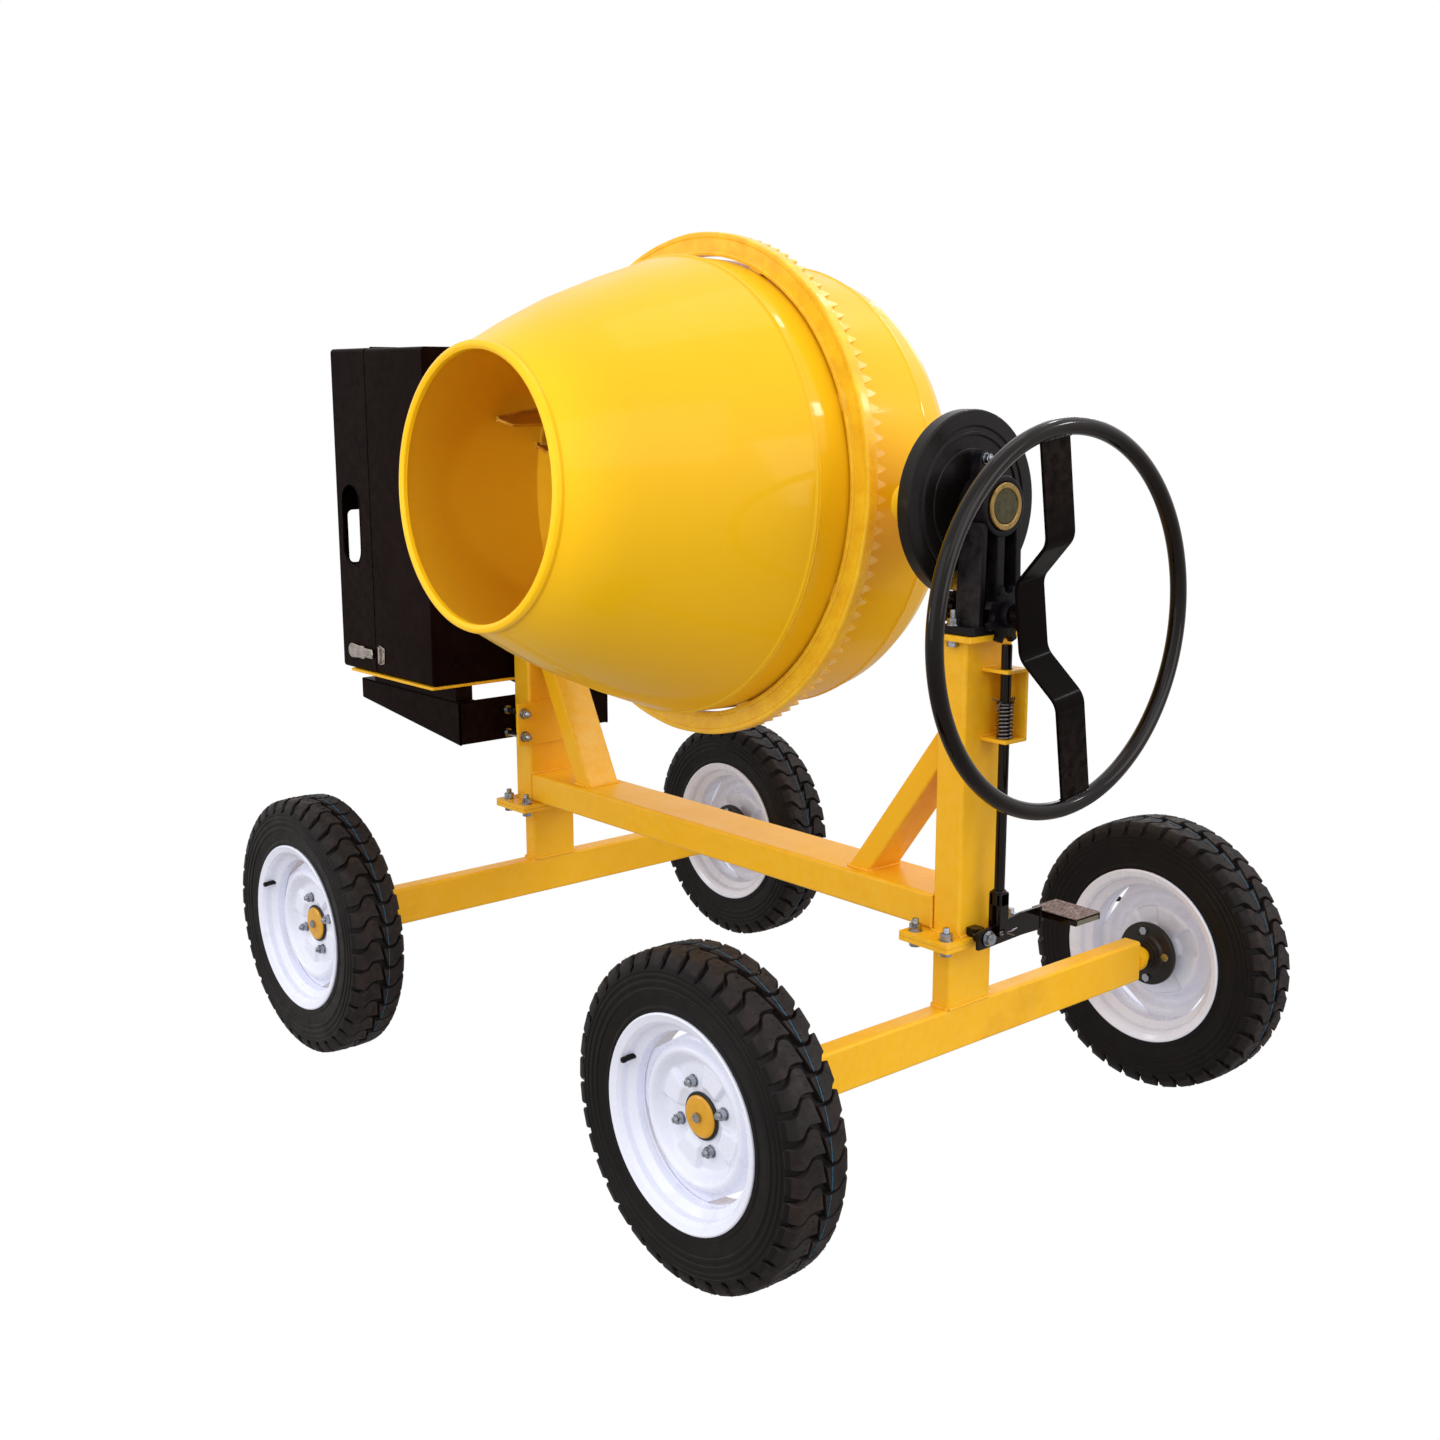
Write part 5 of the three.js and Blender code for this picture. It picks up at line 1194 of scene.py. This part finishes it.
p.put(prism("x", rect(-204, 204, zi, z1, 2), x1 - 5, x1, 1.0), 0)
p.put(prism("x", rect(-204, 204, zo, z1, 2), x0, x0 + 5, 1.2), 0)
p.obj("engine_tray_pressed", "frame", BOX, "black_paint", ["engine_tray"])
p = Piece()
p.put(prism("x", rect(-96, 96, 576, 672, 4), -605.7, -598, 1.2), 0)
p.obj("clamp_plate_steel", "frame", YFR, "yellow_paint", ["clamp_plate"])
p = Piece()
for y in (-80, 80):
    for z in (649, 597):
        p.put(cyl("x", -661.8, -600, (y, z), 6.2, 24, 0.5), 0)
        bolt(p, (-598, y, z), "x", 12, 19, 10, True, 10, spin=7 * (y > 0) + 9 * (z > 600))
        hexa(p, (-662, y, z), "-x", 19, 8, 12)
for x in (-1000, -720):
    for y in (-182, 182):
        bolt(p, (x, y, 675), "-z", 9, 15, 7, True, 5, spin=20)
p.obj("tray_studs", "frame", ZINC, "bright_steel")

# ------------------------------------------------------------------ pieces that keep their CAD shape
for n, m in (("engine", ENG), ("driven_pulley", CAST), ("motor_pulley", CAST), ("drive_belt", BELT), ("motor_shaft", ZINC), ("pinion_shaft", ZINC)):
    for s in nodes[n].material_slots: s.material = m

# ------------------------------------------------------------------ white surround and light
# what the camera sees behind the object is a plain white shell, which lights nothing; the world lights the object
sky = bpy.data.materials.new("surround_white"); sky.use_nodes = True
nt = sky.node_tree; nt.nodes.remove(nt.nodes["Principled BSDF"])
em = nt.nodes.new("ShaderNodeEmission"); em.inputs["Color"].default_value = (1, 1, 1, 1); em.inputs["Strength"].default_value = 1.0
nt.links.new(em.outputs[0], nt.nodes["Material Output"].inputs["Surface"])
V, F = [], []
for i in range(25):
    for j in range(48):
        a, b = math.pi * i / 24, 2 * math.pi * j / 48
        V.append((40 * math.sin(a) * math.cos(b), 40 * math.sin(a) * math.sin(b), 40 * math.cos(a)))
        if i < 24: F.append((i * 48 + j, i * 48 + (j + 1) % 48, (i + 1) * 48 + (j + 1) % 48, (i + 1) * 48 + j))
me = bpy.data.meshes.new("surround"); me.from_pydata(V, [], F); me.materials.append(sky)
dome = bpy.data.objects.new("surround", me); scene.collection.objects.link(dome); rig.stage(dome)
for k in ("visible_diffuse", "visible_glossy", "visible_transmission", "visible_volume_scatter", "visible_shadow"): setattr(dome, k, False)
w = scene.world or bpy.data.worlds.new("world"); scene.world = w; w.use_nodes = True
nt = w.node_tree; bg = nt.nodes["Background"]; bg.inputs["Strength"].default_value = WORLD
tc = nt.nodes.new("ShaderNodeTexCoord"); sx = nt.nodes.new("ShaderNodeSeparateXYZ"); cr = nt.nodes.new("ShaderNodeValToRGB"); mr = nt.nodes.new("ShaderNodeMapRange")
nt.links.new(tc.outputs["Generated"], sx.inputs[0]); nt.links.new(sx.outputs["Z"], mr.inputs["Value"])
mr.inputs["From Min"].default_value = -1.0; mr.inputs["From Max"].default_value = 1.0
nt.links.new(mr.outputs[0], cr.inputs["Fac"]); nt.links.new(cr.outputs["Color"], bg.inputs["Color"])
e = cr.color_ramp.elements; e[0].position = 0.25; e[0].color = (0.42, 0.40, 0.38, 1); e[1].position = 0.75; e[1].color = (1, 1, 1, 1)
def area(name, loc, aim, size, power, color=(1, 1, 1), size_y=None):
    l = bpy.data.lights.new(name, "AREA"); l.energy = power; l.color = color
    l.shape = "RECTANGLE"; l.size = size; l.size_y = size_y or size
    o = bpy.data.objects.new(name, l); scene.collection.objects.link(o)
    o.location = loc
    d = Vector(loc) - Vector(aim)
    o.rotation_euler = d.to_track_quat("Z", "Y").to_euler()
    o.visible_camera = False
    return o
area("key", (4.0, -1.4, 3.6), (0.1, 0, 1.0), 2.6, KEY)
area("front", (0.6, -4.9, 2.4), (0.1, 0, 0.8), 4.4, FRONT)
area("top", (0.2, 0.6, 4.6), (0, 0, 0.9), 1.6, TOP)
area("side_window", (4.4, 1.2, 1.9), (0.1, 0.0, 0.9), 2.4, SIDEW)
area("pane_1", (2.60, 2.68, 3.15), (0.5, -0.1, 1.3), 0.42, 11, size_y=0.30)
area("pane_2", (0.22, 2.62, 4.38), (0.4, -0.1, 1.4), 0.42, 12, size_y=0.34)
area("pane_3", (-1.50, 3.50, 2.35), (0.4, 0.1, 1.4), 0.95, 7, size_y=0.34)
area("pane_4", (-2.8, -3.7, 1.25), (0.7, 0, 1.2), 0.9, 10, size_y=0.5)
# a narrow lamp that looks into the drum's mouth
l = bpy.data.lights.new("mouth_lamp", "SPOT"); l.energy = MOUTH; l.spot_size = 8.6 * D; l.spot_blend = 0.35; l.shadow_soft_size = 0.12
o = bpy.data.objects.new("mouth_lamp", l); scene.collection.objects.link(o)
o.location = (1.55, -3.35, 1.42)
o.rotation_euler = (Vector(o.location) - Vector((SX / 1000 - 0.03, -0.50, 1.185))).to_track_quat("Z", "Y").to_euler()

hi = [-1e9] * 3; lo = [1e9] * 3
dg = bpy.context.evaluated_depsgraph_get()
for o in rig.pieces() if hasattr(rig, "pieces") else []:
    ob = o[0] if isinstance(o, (list, tuple)) else o
    if ob.type != "MESH" or ob.hide_render: continue
    for v in ob.evaluated_get(dg).to_mesh().vertices:
        q = ob.matrix_world @ v.co
        for k in range(3): hi[k] = max(hi[k], q[k]); lo[k] = min(lo[k], q[k])
json.dump({"cad_box": CAD_BOX, "visual_box": [lo, hi]}, open("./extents.json", "w"))
